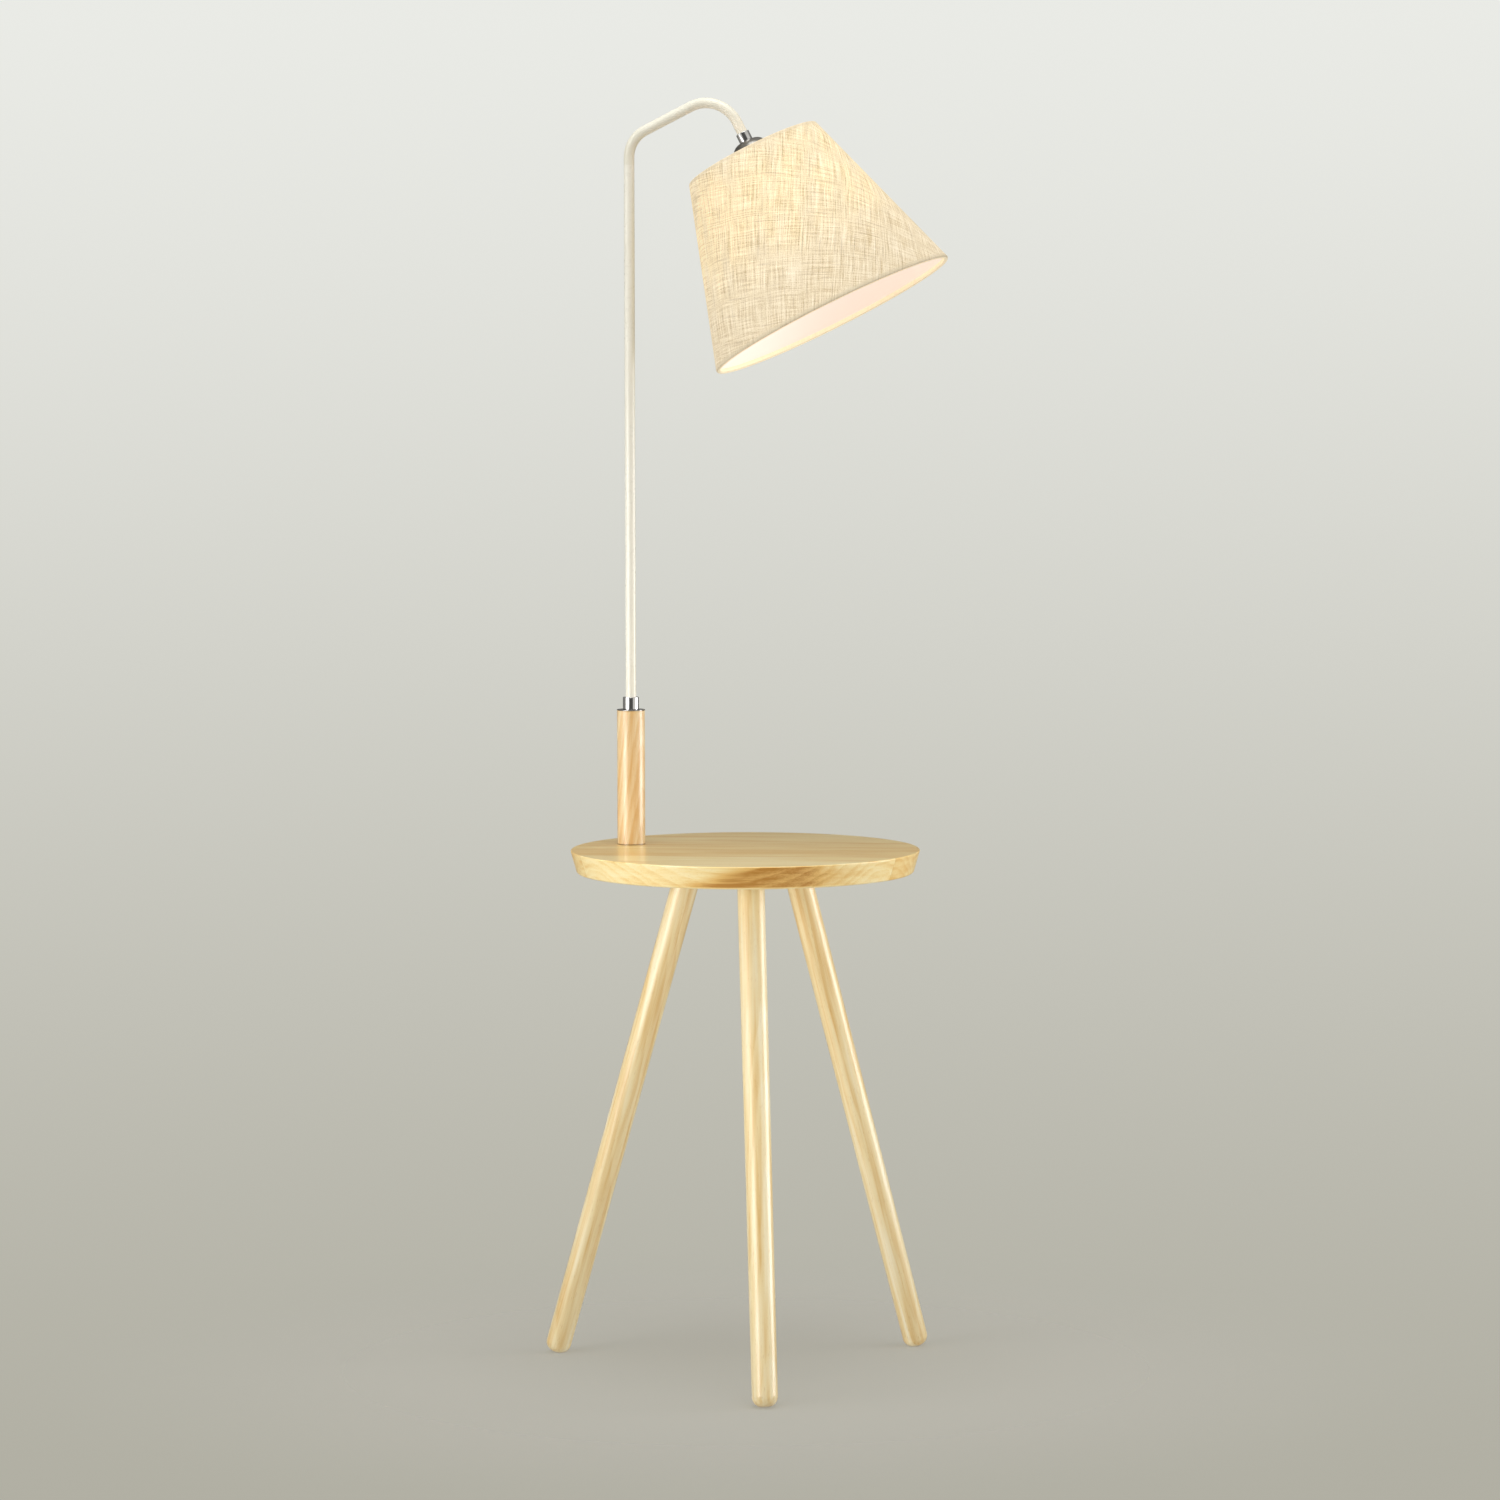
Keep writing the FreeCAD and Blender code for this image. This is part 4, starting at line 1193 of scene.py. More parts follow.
@dataclass(frozen=True)
class Table:
    """Round top of glued boards on three splayed legs; metres."""

    height: float = 600 * MM
    thickness: float = 26 * MM
    radius: float = 200 * MM
    lower_radius: float = 192.5 * MM
    upper_rounding: float = 1.5 * MM
    lower_rounding: float = 3 * MM
    seat_diameter: float = 32.5 * MM
    seat_depth: float = 2 * MM
    recess_diameter: float = 30 * MM
    recess_depth: float = 12 * MM
    leg_circle: float = 71 * MM
    leg_circle_at_floor: float = 245 * MM
    leg_head_diameter: float = 31 * MM
    leg_foot_diameter: float = 29 * MM
    leg_end_rounding: float = 11 * MM
    leg_over_floor: float = 0.5 * MM  # by which a leg is first made too long
    leg_in_socket: float = 7.85 * MM
    socket_room: float = 0.3 * MM
    socket_end_room: float = 0.2 * MM
    cutter_past: float = 4 * MM
    board_width: float = 120 * MM
    board_direction: float = math.radians(19.5)
    glue_line: float = -88 * MM  # across the boards, from the middle

    @property
    def underside(self) -> float:
        """Height of the underside."""
        return self.height - self.thickness

    @property
    def splay(self) -> float:
        """Angle of the legs, in radians."""
        return math.atan2(self.leg_circle_at_floor - self.leg_circle, self.underside)

    def leg_place(self, number: int) -> Matrix:
        """Where a leg's axis meets the underside, with +Z up along the leg; leg 0 is the rear one."""
        about = turn(math.pi + number * FULL_TURN / len(LEG_SIDES), "Z")
        return about @ shift(self.leg_circle, 0, self.underside) @ turn(-self.splay, "Y")

    def board_frame(self) -> Matrix:
        """Frame of the boards: Z along the grain, X across them and Y up.

        Returns:
            The frame, in the middle of the upper face.
        """
        along = Vector((math.cos(self.board_direction), math.sin(self.board_direction), 0))
        across = Vector((-along.y, along.x, 0))
        axes = Matrix((across, Vector((0, 0, 1)), along)).transposed().to_4x4()
        return shift(0, 0, self.height) @ axes

    def make_top(self) -> bpy.types.Object:
        """The top, with its leg sockets, the post's seat and the recess under it.

        Returns:
            The top, at its place.
        """
        stations = (
            Station(self.lower_radius, self.underside, self.lower_rounding),
            Station(self.radius, self.height, self.upper_rounding),
        )
        top = Turning("table_board", stations, sides=192).make()
        seat_foot = self.height - self.seat_depth
        recess_ceiling = self.underside + self.recess_depth
        tools = [
            drill("seat", self.seat_diameter, seat_foot, self.height + self.cutter_past),
            drill("recess", self.recess_diameter, self.underside - self.cutter_past, recess_ceiling),
        ]
        for tool in tools:
            put(tool, shift(-POST_CIRCLE, 0, 0))
        width = self.leg_head_diameter + self.socket_room
        for number in range(len(LEG_SIDES)):
            high = self.leg_in_socket + self.socket_end_room
            socket = drill("socket", width, -self.leg_head_diameter, high)
            tools.append(put(socket, self.leg_place(number)))
        return close_up(cut(top, *tools))

    def make_leg(self) -> bpy.types.Object:
        """One leg about the Z axis, longer than it ends up.

        Returns:
            The leg, with its origin in the plane of the underside.
        """
        foot = self.leg_foot_diameter / 2
        head = self.leg_head_diameter / 2
        end_drop = self.leg_end_rounding * (1 - math.cos(self.splay))
        end_drop += (foot - self.leg_end_rounding) * math.sin(self.splay)
        length = (self.underside - end_drop + self.leg_over_floor) / math.cos(self.splay)
        stations = (
            Station(foot, -length, self.leg_end_rounding),
            Station(head, 0),
            Station(head, self.leg_in_socket),
        )
        return Turning("leg", stations, sides=72).make()

    def stand_leg(self, pattern: bpy.types.Object, name: str, number: int) -> bpy.types.Object:
        """A copy of the leg at its place, cut level with the floor.

        Args:
            pattern: The leg that is copied.
            name: The copy's name.
            number: Which of the legs it is.

        Returns:
            The leg.
        """
        leg = put(copy_of(pattern, name), self.leg_place(number))
        edit(leg)
        bpy.ops.mesh.bisect(plane_co=(0, 0, 0), plane_no=(0, 0, 1), use_fill=True, clear_inner=True)
        return close_up(leg)

    def build(self, shop: Shop) -> None:
        """Models and dresses the table.

        Args:
            shop: Takes the finished pieces.
        """
        boards = Wood(
            "table_boards",
            self.board_frame(),
            pith=(0.0, -78.0),
            drift=(0.012, 0.03),
            ring_width=9.0,
            board_width=self.board_width / MM,
            board_start=self.glue_line / MM,
            contrast=0.13,
            streaks=0.9,
            age=0.42,
            seed=4.0,
            gloss=0.35,
            flat_sawn=0.25,
            # partly riper wood, partly painted shade along the front of the rim
            patch=RipeAndShadedPatch(),
        )
        shop.fit(self.make_top(), Body.STAND, boards, "lacquered_wood", "table_top")
        pattern = self.make_leg()
        for number, (side, pith) in enumerate(LEG_SIDES.items()):
            wood = Wood(
                f"leg_wood_{side}",
                self.leg_place(number),
                pith=pith,
                ring_width=8.0,
                contrast=0.15,
                age=0.38,
                seed=11.0 + number * 7,
                gloss=0.55,
                coat_roughness=0.24,
                palest=tone(247, 236, 205),
                pale=tone(239, 218, 168),
                ripe=tone(222, 184, 118),
            )
            leg = self.stand_leg(pattern, f"turned_leg_{side}", number)
            shop.fit(leg, Body.STAND, wood, "lacquered_wood", f"leg_{side}")
        bpy.data.objects.remove(pattern)


# ---- Post and collar ---------------------------------------------------------------------------


@dataclass(frozen=True)
class Post:
    """Wooden post on the table, the chrome on its top and the rod's end under the table; metres."""

    foot: float = 598 * MM
    top: float = 755 * MM
    diameter: float = 32 * MM
    edge: float = 0.8 * MM
    plate_diameter: float = 32.4 * MM
    plate_thickness: float = 0.8 * MM
    plate_edge: float = 0.25 * MM
    collar_diameter: float = 18.4 * MM
    collar_bore: float = 12.1 * MM
    collar_height: float = 14.3 * MM
    collar_edge: float = 0.6 * MM
    screw_drop: float = 8 * MM
    screw_diameter: float = 3 * MM
    screw_length: float = 2.5 * MM
    screw_sunk: float = 0.15 * MM
    screw_edge: float = 0.25 * MM
    key_diameter: float = 1.7 * MM
    key_depth: float = 1.4 * MM
    recess_ceiling: float = 586 * MM
    washer_diameter: float = 26 * MM
    washer_bore: float = 10.3 * MM
    washer_edge: float = 0.3 * MM
    washer_thickness: float = 1.5 * MM
    nut_flats: float = 17 * MM
    nut_thickness: float = 4 * MM
    nut_chamfer: float = 0.9 * MM
    rod_diameter: float = 10 * MM
    rod_bore: float = 6 * MM
    rod_foot: float = 573.5 * MM
    thread_pitch: float = 1 * MM
    thread_depth: float = 0.45 * MM
    thread_turns: int = 9
    gland_diameter: float = 18 * MM
    gland_nose: float = 13 * MM
    gland_bore: float = 7.2 * MM
    gland_edge: float = 0.8 * MM
    gland_foot: float = 567.2 * MM
    gland_top: float = 580 * MM

    @property
    def place(self) -> Matrix:
        """The post's own frame."""
        return shift(-POST_CIRCLE, 0, 0)

    @property
    def collar_foot(self) -> float:
        """Height of the collar's lower edge."""
        return self.top + self.plate_thickness

    @property
    def collar_top(self) -> float:
        """Height of the collar's upper edge."""
        return self.collar_foot + self.collar_height

    @property
    def screw_place(self) -> Matrix:
        """The stop screw's frame, with +Z out of the collar's rear."""
        return shift(0, 0, self.collar_top - self.screw_drop) @ turn(-math.pi / 2, "Y")

    def make_collar(self) -> bpy.types.Object:
        """Collar with its bearing and the hole for the stop screw.

        Returns:
            The collar, about the Z axis.
        """
        ends = (self.collar_foot, self.collar_top)
        collar = pipe("chrome_collar", self.collar_diameter, self.collar_bore, *ends, self.collar_edge)
        hole = drill("hole", self.screw_diameter + THREAD_ROOM, 0, self.collar_diameter, 24)
        return close_up(cut(collar.make(), put(hole, self.screw_place)))

    def make_screw(self) -> bpy.types.Object:
        """Grub screw with a hexagon socket, just under the collar's surface.

        Returns:
            The screw, in the collar about the Z axis.
        """
        end = self.collar_diameter / 2 - self.screw_sunk
        radius = self.screw_diameter / 2
        stations = (Station(radius, end - self.screw_length), Station(radius, end, self.screw_edge))
        screw = Turning("grub_screw", stations, sides=24).make()
        socket = drill("socket", self.key_diameter, end - self.key_depth, end + PAST, 6)
        return put(close_up(cut(screw, socket)), self.screw_place)

    def make_nut(self) -> bpy.types.Object:
        """Hexagon nut with chamfered corners.

        Returns:
            The nut, about the Z axis.
        """
        high = self.recess_ceiling - self.washer_thickness
        low = high - self.nut_thickness
        corner = self.nut_flats / math.sqrt(3)
        nut = drill("rod_hex_nut", 2 * corner, low, high, 6)
        bore = drill("bore", self.rod_diameter + THREAD_ROOM, low - PAST, high + PAST)
        outside = corner * 1.3
        inside = corner - 2 * self.nut_chamfer
        chamfer = (
            Station(outside, low - PAST),
            Station(outside, low + self.nut_chamfer),
            Station(corner, low + self.nut_chamfer),
            Station(inside, low - 0.05 * MM),
            Station(inside, low - PAST),
        )
        return close_up(cut(nut, bore, Turning("chamfer", chamfer, closed=True).make()))

    def make_rod_end(self) -> bpy.types.Object:
        """The rod's lower end, with the crests of its thread.

        Returns:
            The rod's end, about the Z axis.
        """
        crest = self.rod_diameter / 2
        root = crest - self.thread_depth
        stations = [Station(root, self.rod_foot)]
        for number in range(self.thread_turns):
            low = self.rod_foot + (number + 0.35) * self.thread_pitch
            stations += [Station(crest, low), Station(root, low + self.thread_pitch / 2)]
        for height in (stations[-1].height, self.rod_foot):
            stations.append(Station(self.rod_bore / 2, height))
        return Turning("rod_thread_end", stations, sides=48, closed=True).make()

    def make_gland(self) -> bpy.types.Object:
        """Bush under the table that the cord would come in through.

        Returns:
            The bush, about the Z axis.
        """
        thread = (self.rod_diameter + THREAD_ROOM) / 2
        step = self.rod_foot - 0.3 * MM
        stations = (
            Station(self.gland_nose / 2, self.gland_foot, self.gland_edge),
            Station(self.gland_diameter / 2, self.gland_foot + 5 * MM, self.gland_edge),
            Station(self.gland_diameter / 2, self.gland_top, 0.5 * MM),
            Station(thread, self.gland_top),
            Station(thread, step),
            Station(self.gland_bore / 2, step),
            Station(self.gland_bore / 2, self.gland_foot, 0.6 * MM),
        )
        return Turning("cord_bush", stations, sides=72, closed=True).make()

    def build(self, shop: Shop) -> None:
        """Models and dresses the post and its fittings.

        Args:
            shop: Takes the finished pieces.
        """
        wood = Wood(
            "post_wood",
            self.place @ turn(math.radians(5), "Y"),
            pith=(-20.0, 34.0),
            drift=(0.1, -0.06),
            ring_width=7.0,
            contrast=0.16,
            age=0.5,
            seed=29.0,
            gloss=0.5,
            coat_roughness=0.2,
            streaks=0.8,
            # height of a painted shadow line where the post stands in its seat
            shadow_line=self.foot + 2 * MM,
            palest=tone(242, 227, 196),
            pale=tone(233, 209, 165),
            ripe=tone(218, 174, 112),
        )
        post = Turning(
            "turned_post",
            (Station(self.diameter / 2, self.foot), Station(self.diameter / 2, self.top, self.edge)),
        )
        chrome = Metal("chrome", self.place)
        # chrome painted darker, as painted shade, so the thin plate under the collar reads as a dark line
        shaded_chrome = Metal("plate_chrome_painted_shade", self.place, tone(150, 148, 146), tone(120, 118, 116), 0.2)
        plated = zinc("zinc", self.place)
        nylon = Moulded("gland_nylon", tone(236, 234, 226), tone(214, 210, 200), 0.42)
        plate_ends = (self.top, self.collar_foot)
        plate = pipe("chrome_plate", self.plate_diameter, self.collar_bore, *plate_ends, self.plate_edge)
        washer_ends = (self.recess_ceiling - self.washer_thickness, self.recess_ceiling)
        washer = pipe("large_washer", self.washer_diameter, self.washer_bore, *washer_ends, self.washer_edge)
        rows = (
            (post.make(), wood, "lacquered_wood", "lamp_post"),
            (plate.make(), shaded_chrome, "chrome", "post_plate"),
            (self.make_collar(), chrome, "chrome", "base_collar"),
            (self.make_screw(), plated, "zinc_steel", "collar_screw"),
            (washer.make(), plated, "zinc_steel", "rod_washer"),
            (self.make_nut(), plated, "zinc_steel", "rod_nut"),
            (self.make_rod_end(), plated, "zinc_steel", "post_rod"),
            (self.make_gland(), nylon, "holder_plastic", "cord_gland"),
        )
        shop.fit_all(self.place, Body.STAND, rows)
        shop.finish_nodes(plated, "leg_bolts")


# ---- Upright and gooseneck ---------------------------------------------------------------------


@dataclass(frozen=True)
class ArmLine:
    """Centreline of the upright and the gooseneck; metres, in the arm's plane on the Z axis."""

    arm_turn: float = math.radians(10)
    tube_foot: float = 766.1 * MM
    seam: float = 1380.1 * MM
    start_run: float = 8.2 * MM
    root_radius: float = 34 * MM
    root_angle: float = math.radians(63.7)
    middle_run: float = 60 * MM
    middle_piece: float = 30 * MM
    tip_radius: float = 41.6 * MM
    tip_angle: float = math.radians(89.2)
    end_run: float = 13 * MM

    @property
    def place(self) -> Matrix:
        """The arm's plane in the lamp."""
        return shift(-POST_CIRCLE, 0, 0) @ turn(self.arm_turn, "Z")

    def bend(self, start: Matrix, radius: float, angle: float) -> Matrix:
        """The place at the end of a bend towards the place's own +X."""
        end = shift(radius * (1 - math.cos(angle)), 0, radius * math.sin(angle))
        return start @ end @ turn(angle, "Y")

    @property
    def root_start(self) -> Matrix:
        """Start of the root bend."""
        return shift(0, 0, self.seam + self.start_run)

    @property
    def root_end(self) -> Matrix:
        """End of the root bend."""
        return self.bend(self.root_start, self.root_radius, self.root_angle)

    @property
    def side_run(self) -> float:
        """Straight run between a bend and the middle piece."""
        return (self.middle_run - self.middle_piece) / 2

    @property
    def tip_start(self) -> Matrix:
        """Start of the tip bend."""
        return self.root_end @ shift(0, 0, self.middle_run)

    @property
    def tip_end(self) -> Matrix:
        """End of the tip bend."""
        return self.bend(self.tip_start, self.tip_radius, self.tip_angle)

    @property
    def head(self) -> Matrix:
        """The head's own frame in the lamp: +Z down along the shade's axis, from the collar's upper end."""
        return self.place @ self.tip_end @ shift(0, 0, self.end_run)

    def in_lamp(self, place: Matrix) -> Vector:
        """A place of the arm's plane as a point in the lamp."""
        return (self.place @ place).translation


class Bending:
    """A round bar drawn along the arm's line by straight runs and bends."""

    degrees_per_step = 2

    def __init__(self, name: str, diameter: float, start: Matrix, sides: int = 48) -> None:
        """Starts with a circle.

        Args:
            name: The piece's name.
            diameter: The bar's diameter.
            start: Where it starts, with +Z along the bar.
            sides: Sides of the circle.
        """
        self.piece = put(circle(name, diameter / 2, sides, filled=True), start)
        self.here = start
        edit(self.piece)

    def run(self, length: float, steps: int = 1) -> Bending:
        """Draws the bar straight on.

        Args:
            length: Length of the run.
            steps: Number of rings on the way.

        Returns:
            The bar.
        """
        along = self.here.to_3x3() @ Vector((0, 0, length / steps))
        for _ in range(steps):
            bpy.ops.mesh.extrude_region_move(TRANSFORM_OT_translate={"value": tuple(along)})
        self.here = self.here @ shift(0, 0, length)
        return self

    def bend(self, radius: float, angle: float, end: Matrix) -> Bending:
        """Draws the bar round a bend towards its own +X.

        Args:
            radius: The bend's radius.
            angle: Its angle in radians.
            end: The place at its end.

        Returns:
            The bar.
        """
        centre = self.here @ Vector((radius, 0, 0))
        steps = math.ceil(math.degrees(angle) / self.degrees_per_step)
        bpy.ops.mesh.spin(steps=steps, angle=-angle, center=tuple(centre), axis=(0, 1, 0))
        self.here = end
        return self

    def done(self) -> bpy.types.Object:
        """The finished bar, closed at both ends."""
        return close_up(self.piece)


@dataclass(frozen=True)
class Upright:
    """White tube that turns in the collar; metres."""

    line: ArmLine
    diameter: float = 12 * MM
    bore: float = 10 * MM
    edge: float = 0.3 * MM

    def build(self, shop: Shop) -> None:
        """Models and dresses the tube.

        Args:
            shop: Takes the finished pieces.
        """
        paint = Moulded("white_paint", tone(240, 237, 224), tone(233, 228, 212), 0.28, 0.004, coat=0.2)
        line = self.line
        tube = pipe("painted_upright", self.diameter, self.bore, line.tube_foot, line.seam, self.edge)
        shop.fit(put(tube.make(), line.place), Body.UPRIGHT, paint, "white_paint", "upright_tube")
        shop.finish_nodes(brass("brass", line.place), "swivel_spigot", "leg_inserts")
        shop.finish_nodes(zinc("upright_zinc", line.place), "neck_root_bush")


@dataclass(frozen=True)
class Neck:
    """Gooseneck: a sleeve over a wound hose, in two lengths that meet in the straight middle; metres."""

    line: ArmLine
    sleeve_diameter: float = 12 * MM
    core_diameter: float = 8.1 * MM
    sleeve_in_collar: float = 3 * MM
    core_in_bush: float = 22 * MM
    core_in_nipple: float = 11 * MM
    root_reach: tuple[float, float] = (8 * MM, 12 * MM)  # how far past its arc the neck gives, at each end
    tip_reach: tuple[float, float] = (15 * MM, 12 * MM)

    def give(
        self, bodies: tuple[Body, Body], arc: tuple[Matrix, Matrix], reach: tuple[float, float]
    ) -> Bend:
        """A bend of the neck as a stretch that gives.

        Args:
            bodies: The bodies before and after it.
            arc: The places where its arc starts and ends, in the arm's plane.
            reach: How far past the arc it gives, at each end.

        Returns:
            The stretch, in the lamp.
        """
        start = self.line.in_lamp(arc[0] @ shift(0, 0, -reach[0]))
        return Bend(*bodies, start, self.line.in_lamp(arc[1] @ shift(0, 0, reach[1])))

    def lower(self, name: str, diameter: float, before: float, after: float) -> bpy.types.Object:
        """The length with the root bend, from before the seam to after the bend.

        Args:
            name: The piece's name.
            diameter: Its diameter.
            before: How far before the seam it starts.
            after: How far past the bend it ends.

        Returns:
            The length, at its place.
        """
        line = self.line
        bar = Bending(name, diameter, shift(0, 0, line.seam - before))
        bar.run(before + line.start_run, 4).bend(line.root_radius, line.root_angle, line.root_end)
        return put(bar.run(after, 6).done(), line.place)

    def upper(self, name: str, diameter: float, before: float, after: float) -> bpy.types.Object:
        """The length with the tip bend, from before the bend to after the collar's upper end.

        Args:
            name: The piece's name.
            diameter: Its diameter.
            before: How far before the bend it starts.
            after: How far past the collar's upper end it ends.

        Returns:
            The length, at its place.
        """
        line = self.line
        bar = Bending(name, diameter, line.tip_start @ shift(0, 0, -before))
        bar.run(before, 4).bend(line.tip_radius, line.tip_angle, line.tip_end)
        return put(bar.run(line.end_run + after, 6).done(), line.place)

    def build(self, shop: Shop) -> None:
        """Models and dresses the sleeve and the hose in it.

        Args:
            shop: Takes the finished pieces.
        """
        line = self.line
        sleeve = Moulded("neck_sleeve", tone(235, 232, 217), tone(228, 223, 204), 0.4, 0.005, coat=0.1)
        hose = Metal("hose_zinc", line.place, tone(176, 178, 178), tone(150, 150, 148), 0.35, 0.1, 0.2)
        root = self.give((Body.UPRIGHT, Body.NECK), (line.root_start, line.root_end), self.root_reach)
        tip = self.give((Body.NECK, Body.HEAD), (line.tip_start, line.tip_end), self.tip_reach)
        long_side = line.side_run + line.middle_piece
        low_sleeve = self.lower("sleeve_lower", self.sleeve_diameter, 0.0, long_side)
        shop.span(low_sleeve, root, sleeve, "neck_sleeve", "neck_sleeve_root", "neck_sleeve_middle")
        top_sleeve = self.upper("sleeve_upper", self.sleeve_diameter, line.side_run, self.sleeve_in_collar)
        shop.span(top_sleeve, tip, sleeve, "neck_sleeve", "neck_sleeve_tip")
        half = line.middle_run / 2
        low_core = self.lower("hose_lower", self.core_diameter, self.core_in_bush, half)
        shop.span(low_core, root, hose, "zinc_steel", "neck_core_root", "flex_in_neck_root")
        top_core = self.upper("hose_upper", self.core_diameter, half, self.core_in_nipple)
        shop.span(top_core, tip, hose, "zinc_steel", "neck_core_tip", "flex_in_neck_tip")


# ---- Head: collar, cap and lampholder ----------------------------------------------------------


@dataclass(frozen=True)
class Head:
    """Collar, cap, lampholder and bulb; metres, drops down from the collar's upper end."""

    cone: ShadeCone
    collar_diameter: float = 15.6 * MM
    collar_bore: float = 12.3 * MM
    collar_height: float = 10.6 * MM
    collar_edge: float = 0.6 * MM
    cap_diameter: float = 43 * MM
    cap_shoulder: float = 14 * MM
    cap_wall: float = 0.8 * MM
    cap_foot: float = 40 * MM
    cap_hole: float = 10.1 * MM
    skirt_diameter: float = 39 * MM
    skirt_bore: float = 29.4 * MM
    skirt_top: float = 34 * MM
    skirt_foot: float = 64 * MM
    flange_diameter: float = 48 * MM
    flange_top: float = 41 * MM
    flange_foot: float = 43 * MM
    nut_top: float = 44.6 * MM
    nut_diameter: float = 52 * MM
    nut_length: float = 7 * MM
    nut_wall: float = 2.4 * MM
    thread_pitch: float = 2.5 * MM
    thread_depth: float = 0.7 * MM
    groove_count: int = 24
    groove_diameter: float = 1.6 * MM
    bulb_radius: float = 30 * MM
    bulb_neck: float = 14 * MM
    bulb_shoulder: float = 67.6 * MM
    bulb_stem: float = 12.45 * MM
    bulb_stem_top: float = 46 * MM
    bulb_meets_neck: float = math.radians(-21)  # below its equator, seen from its middle
    bulb_steps: int = 20

    def make_cap(self) -> bpy.types.Object:
        """Domed cup with an even wall and a turned bead at its mouth.

        Returns:
            The cap, in the head's frame.
        """
        outer = self.cap_diameter / 2
        inner = outer - self.cap_wall
        hole = self.cap_hole / 2
        stations = (
            Station(hole, self.collar_height),
            Station(outer, self.collar_height, self.cap_shoulder),
            Station(outer, self.cap_foot, 0.3 * MM),
            Station(inner, self.cap_foot),
            Station(inner, self.collar_height + self.cap_wall, self.cap_shoulder - self.cap_wall),
            Station(hole, self.collar_height + self.cap_wall),
        )
        return Turning("nickel_cap", stations, closed=True, rounding_step=math.radians(5)).make()

    def make_skirt(self) -> bpy.types.Object:
        """Lampholder's skirt, with its flange and the coarse thread that the ring runs on.

        Returns:
            The skirt, in the head's frame.
        """
        outer = self.skirt_diameter / 2
        root = outer - self.thread_depth
        bore = self.skirt_bore / 2
        flange = self.flange_diameter / 2
        start = self.nut_top + self.nut_length + 0.3 * MM
        stations = [
            Station(bore, self.skirt_top),
            Station(outer, self.skirt_top),
            Station(outer, self.flange_top),
            Station(flange, self.flange_top, 0.5 * MM),
            Station(flange, self.flange_foot, 0.5 * MM),
            Station(outer, self.flange_foot),
            Station(outer, start),
        ]
        for number in range(int((self.skirt_foot - start) / self.thread_pitch)):
            low = start + number * self.thread_pitch
            for radius, share in ((root, 0.35), (root, 0.6), (outer, 0.95)):
                stations.append(Station(radius, low + share * self.thread_pitch))
        for radius in (outer, bore):
            stations.append(Station(radius, self.skirt_foot, 0.6 * MM))
        return Turning("holder_skirt_shell", stations, closed=True).make()

    def make_ring(self) -> bpy.types.Object:
        """Ring that clamps the shade, with finger grooves round its flange.

        Returns:
            The ring, in the head's frame.
        """
        bore = (self.skirt_diameter + THREAD_ROOM) / 2
        barrel = bore + self.nut_wall
        foot = self.nut_top + self.nut_length
        flange_foot = self.nut_top + self.nut_wall
        edge = 0.4 * MM
        stations = (
            Station(self.nut_diameter / 2, self.nut_top, edge),
            Station(self.nut_diameter / 2, flange_foot, edge),
            Station(barrel, flange_foot),
            Station(barrel, foot, 0.5 * MM),
            Station(bore, foot),
            Station(bore, self.nut_top),
        )
        ring = Turning("shade_ring", stations, closed=True).make()
        tools = []
        for number in range(self.groove_count):
            about = turn(number * FULL_TURN / self.groove_count, "Z")
            tool = drill("groove", self.groove_diameter, flange_foot + edge, foot + PAST, 8)
            tools.append(put(tool, about @ shift(barrel + 0.35 * MM, 0, 0)))
        return close_up(cut(ring, join(tools)))

    def make_bulb(self) -> bpy.types.Object:
        """Round opal bulb whose neck runs into its base.

        Returns:
            The bulb, in the head's frame.
        """
        meet = self.bulb_meets_neck
        stations = [
            Station(self.bulb_stem, self.bulb_stem_top),
            Station(self.bulb_stem, self.bulb_shoulder - 0.5 * MM),
            Station(self.bulb_neck, self.bulb_shoulder + 4.3 * MM),
        ]
        for number in range(self.bulb_steps):
            angle = meet + (math.pi / 2 - meet) * number / self.bulb_steps
            drop = self.cone.bulb_drop + self.bulb_radius * math.sin(angle)
            stations.append(Station(self.bulb_radius * math.cos(angle), drop))
        return Turning("opal_globe", stations, sides=72).make()

    def build(self, shop: Shop) -> None:
        """Models and dresses the head.

        Args:
            shop: Takes the finished pieces.
        """
        frame = self.cone.frame
        chrome = Metal("head_chrome", frame)
        nickel = Metal("nickel", frame, tone(128, 126, 121), tone(108, 106, 102), 0.3, 0.1, 0.15)
        plastic = Moulded("holder_plastic", tone(240, 238, 230), tone(222, 216, 204), 0.35)
        steel = Metal("bulb_steel", frame, tone(198, 198, 196), tone(170, 170, 168), 0.22, 0.1, 0.1)
        collar_ends = (0, self.collar_height)
        collar = pipe("neck_collar", self.collar_diameter, self.collar_bore, *collar_ends, self.collar_edge)
        rows = (
            (collar.make(), chrome, "chrome", "head_collar"),
            (self.make_cap(), nickel, "grey_nickel", "holder_cap"),
            (self.make_skirt(), plastic, "holder_plastic", "holder_skirt"),
            (self.make_ring(), plastic, "holder_plastic", "shade_nut"),
            (self.make_bulb(), Opal("opal_glass", self.cone), "bulb_glass", "bulb_globe"),
        )
        shop.fit_all(frame, Body.HEAD, rows)
        shop.finish_nodes(plastic, "holder_dome", "holder_insert")
        shop.finish_nodes(brass("holder_brass", frame), "screw_shell", "centre_contact", "terminal_screws")
        shop.finish_nodes(steel, "bulb_base", "neck_tip_nipple")


# ---- Shade -------------------------------------------------------------------------------------


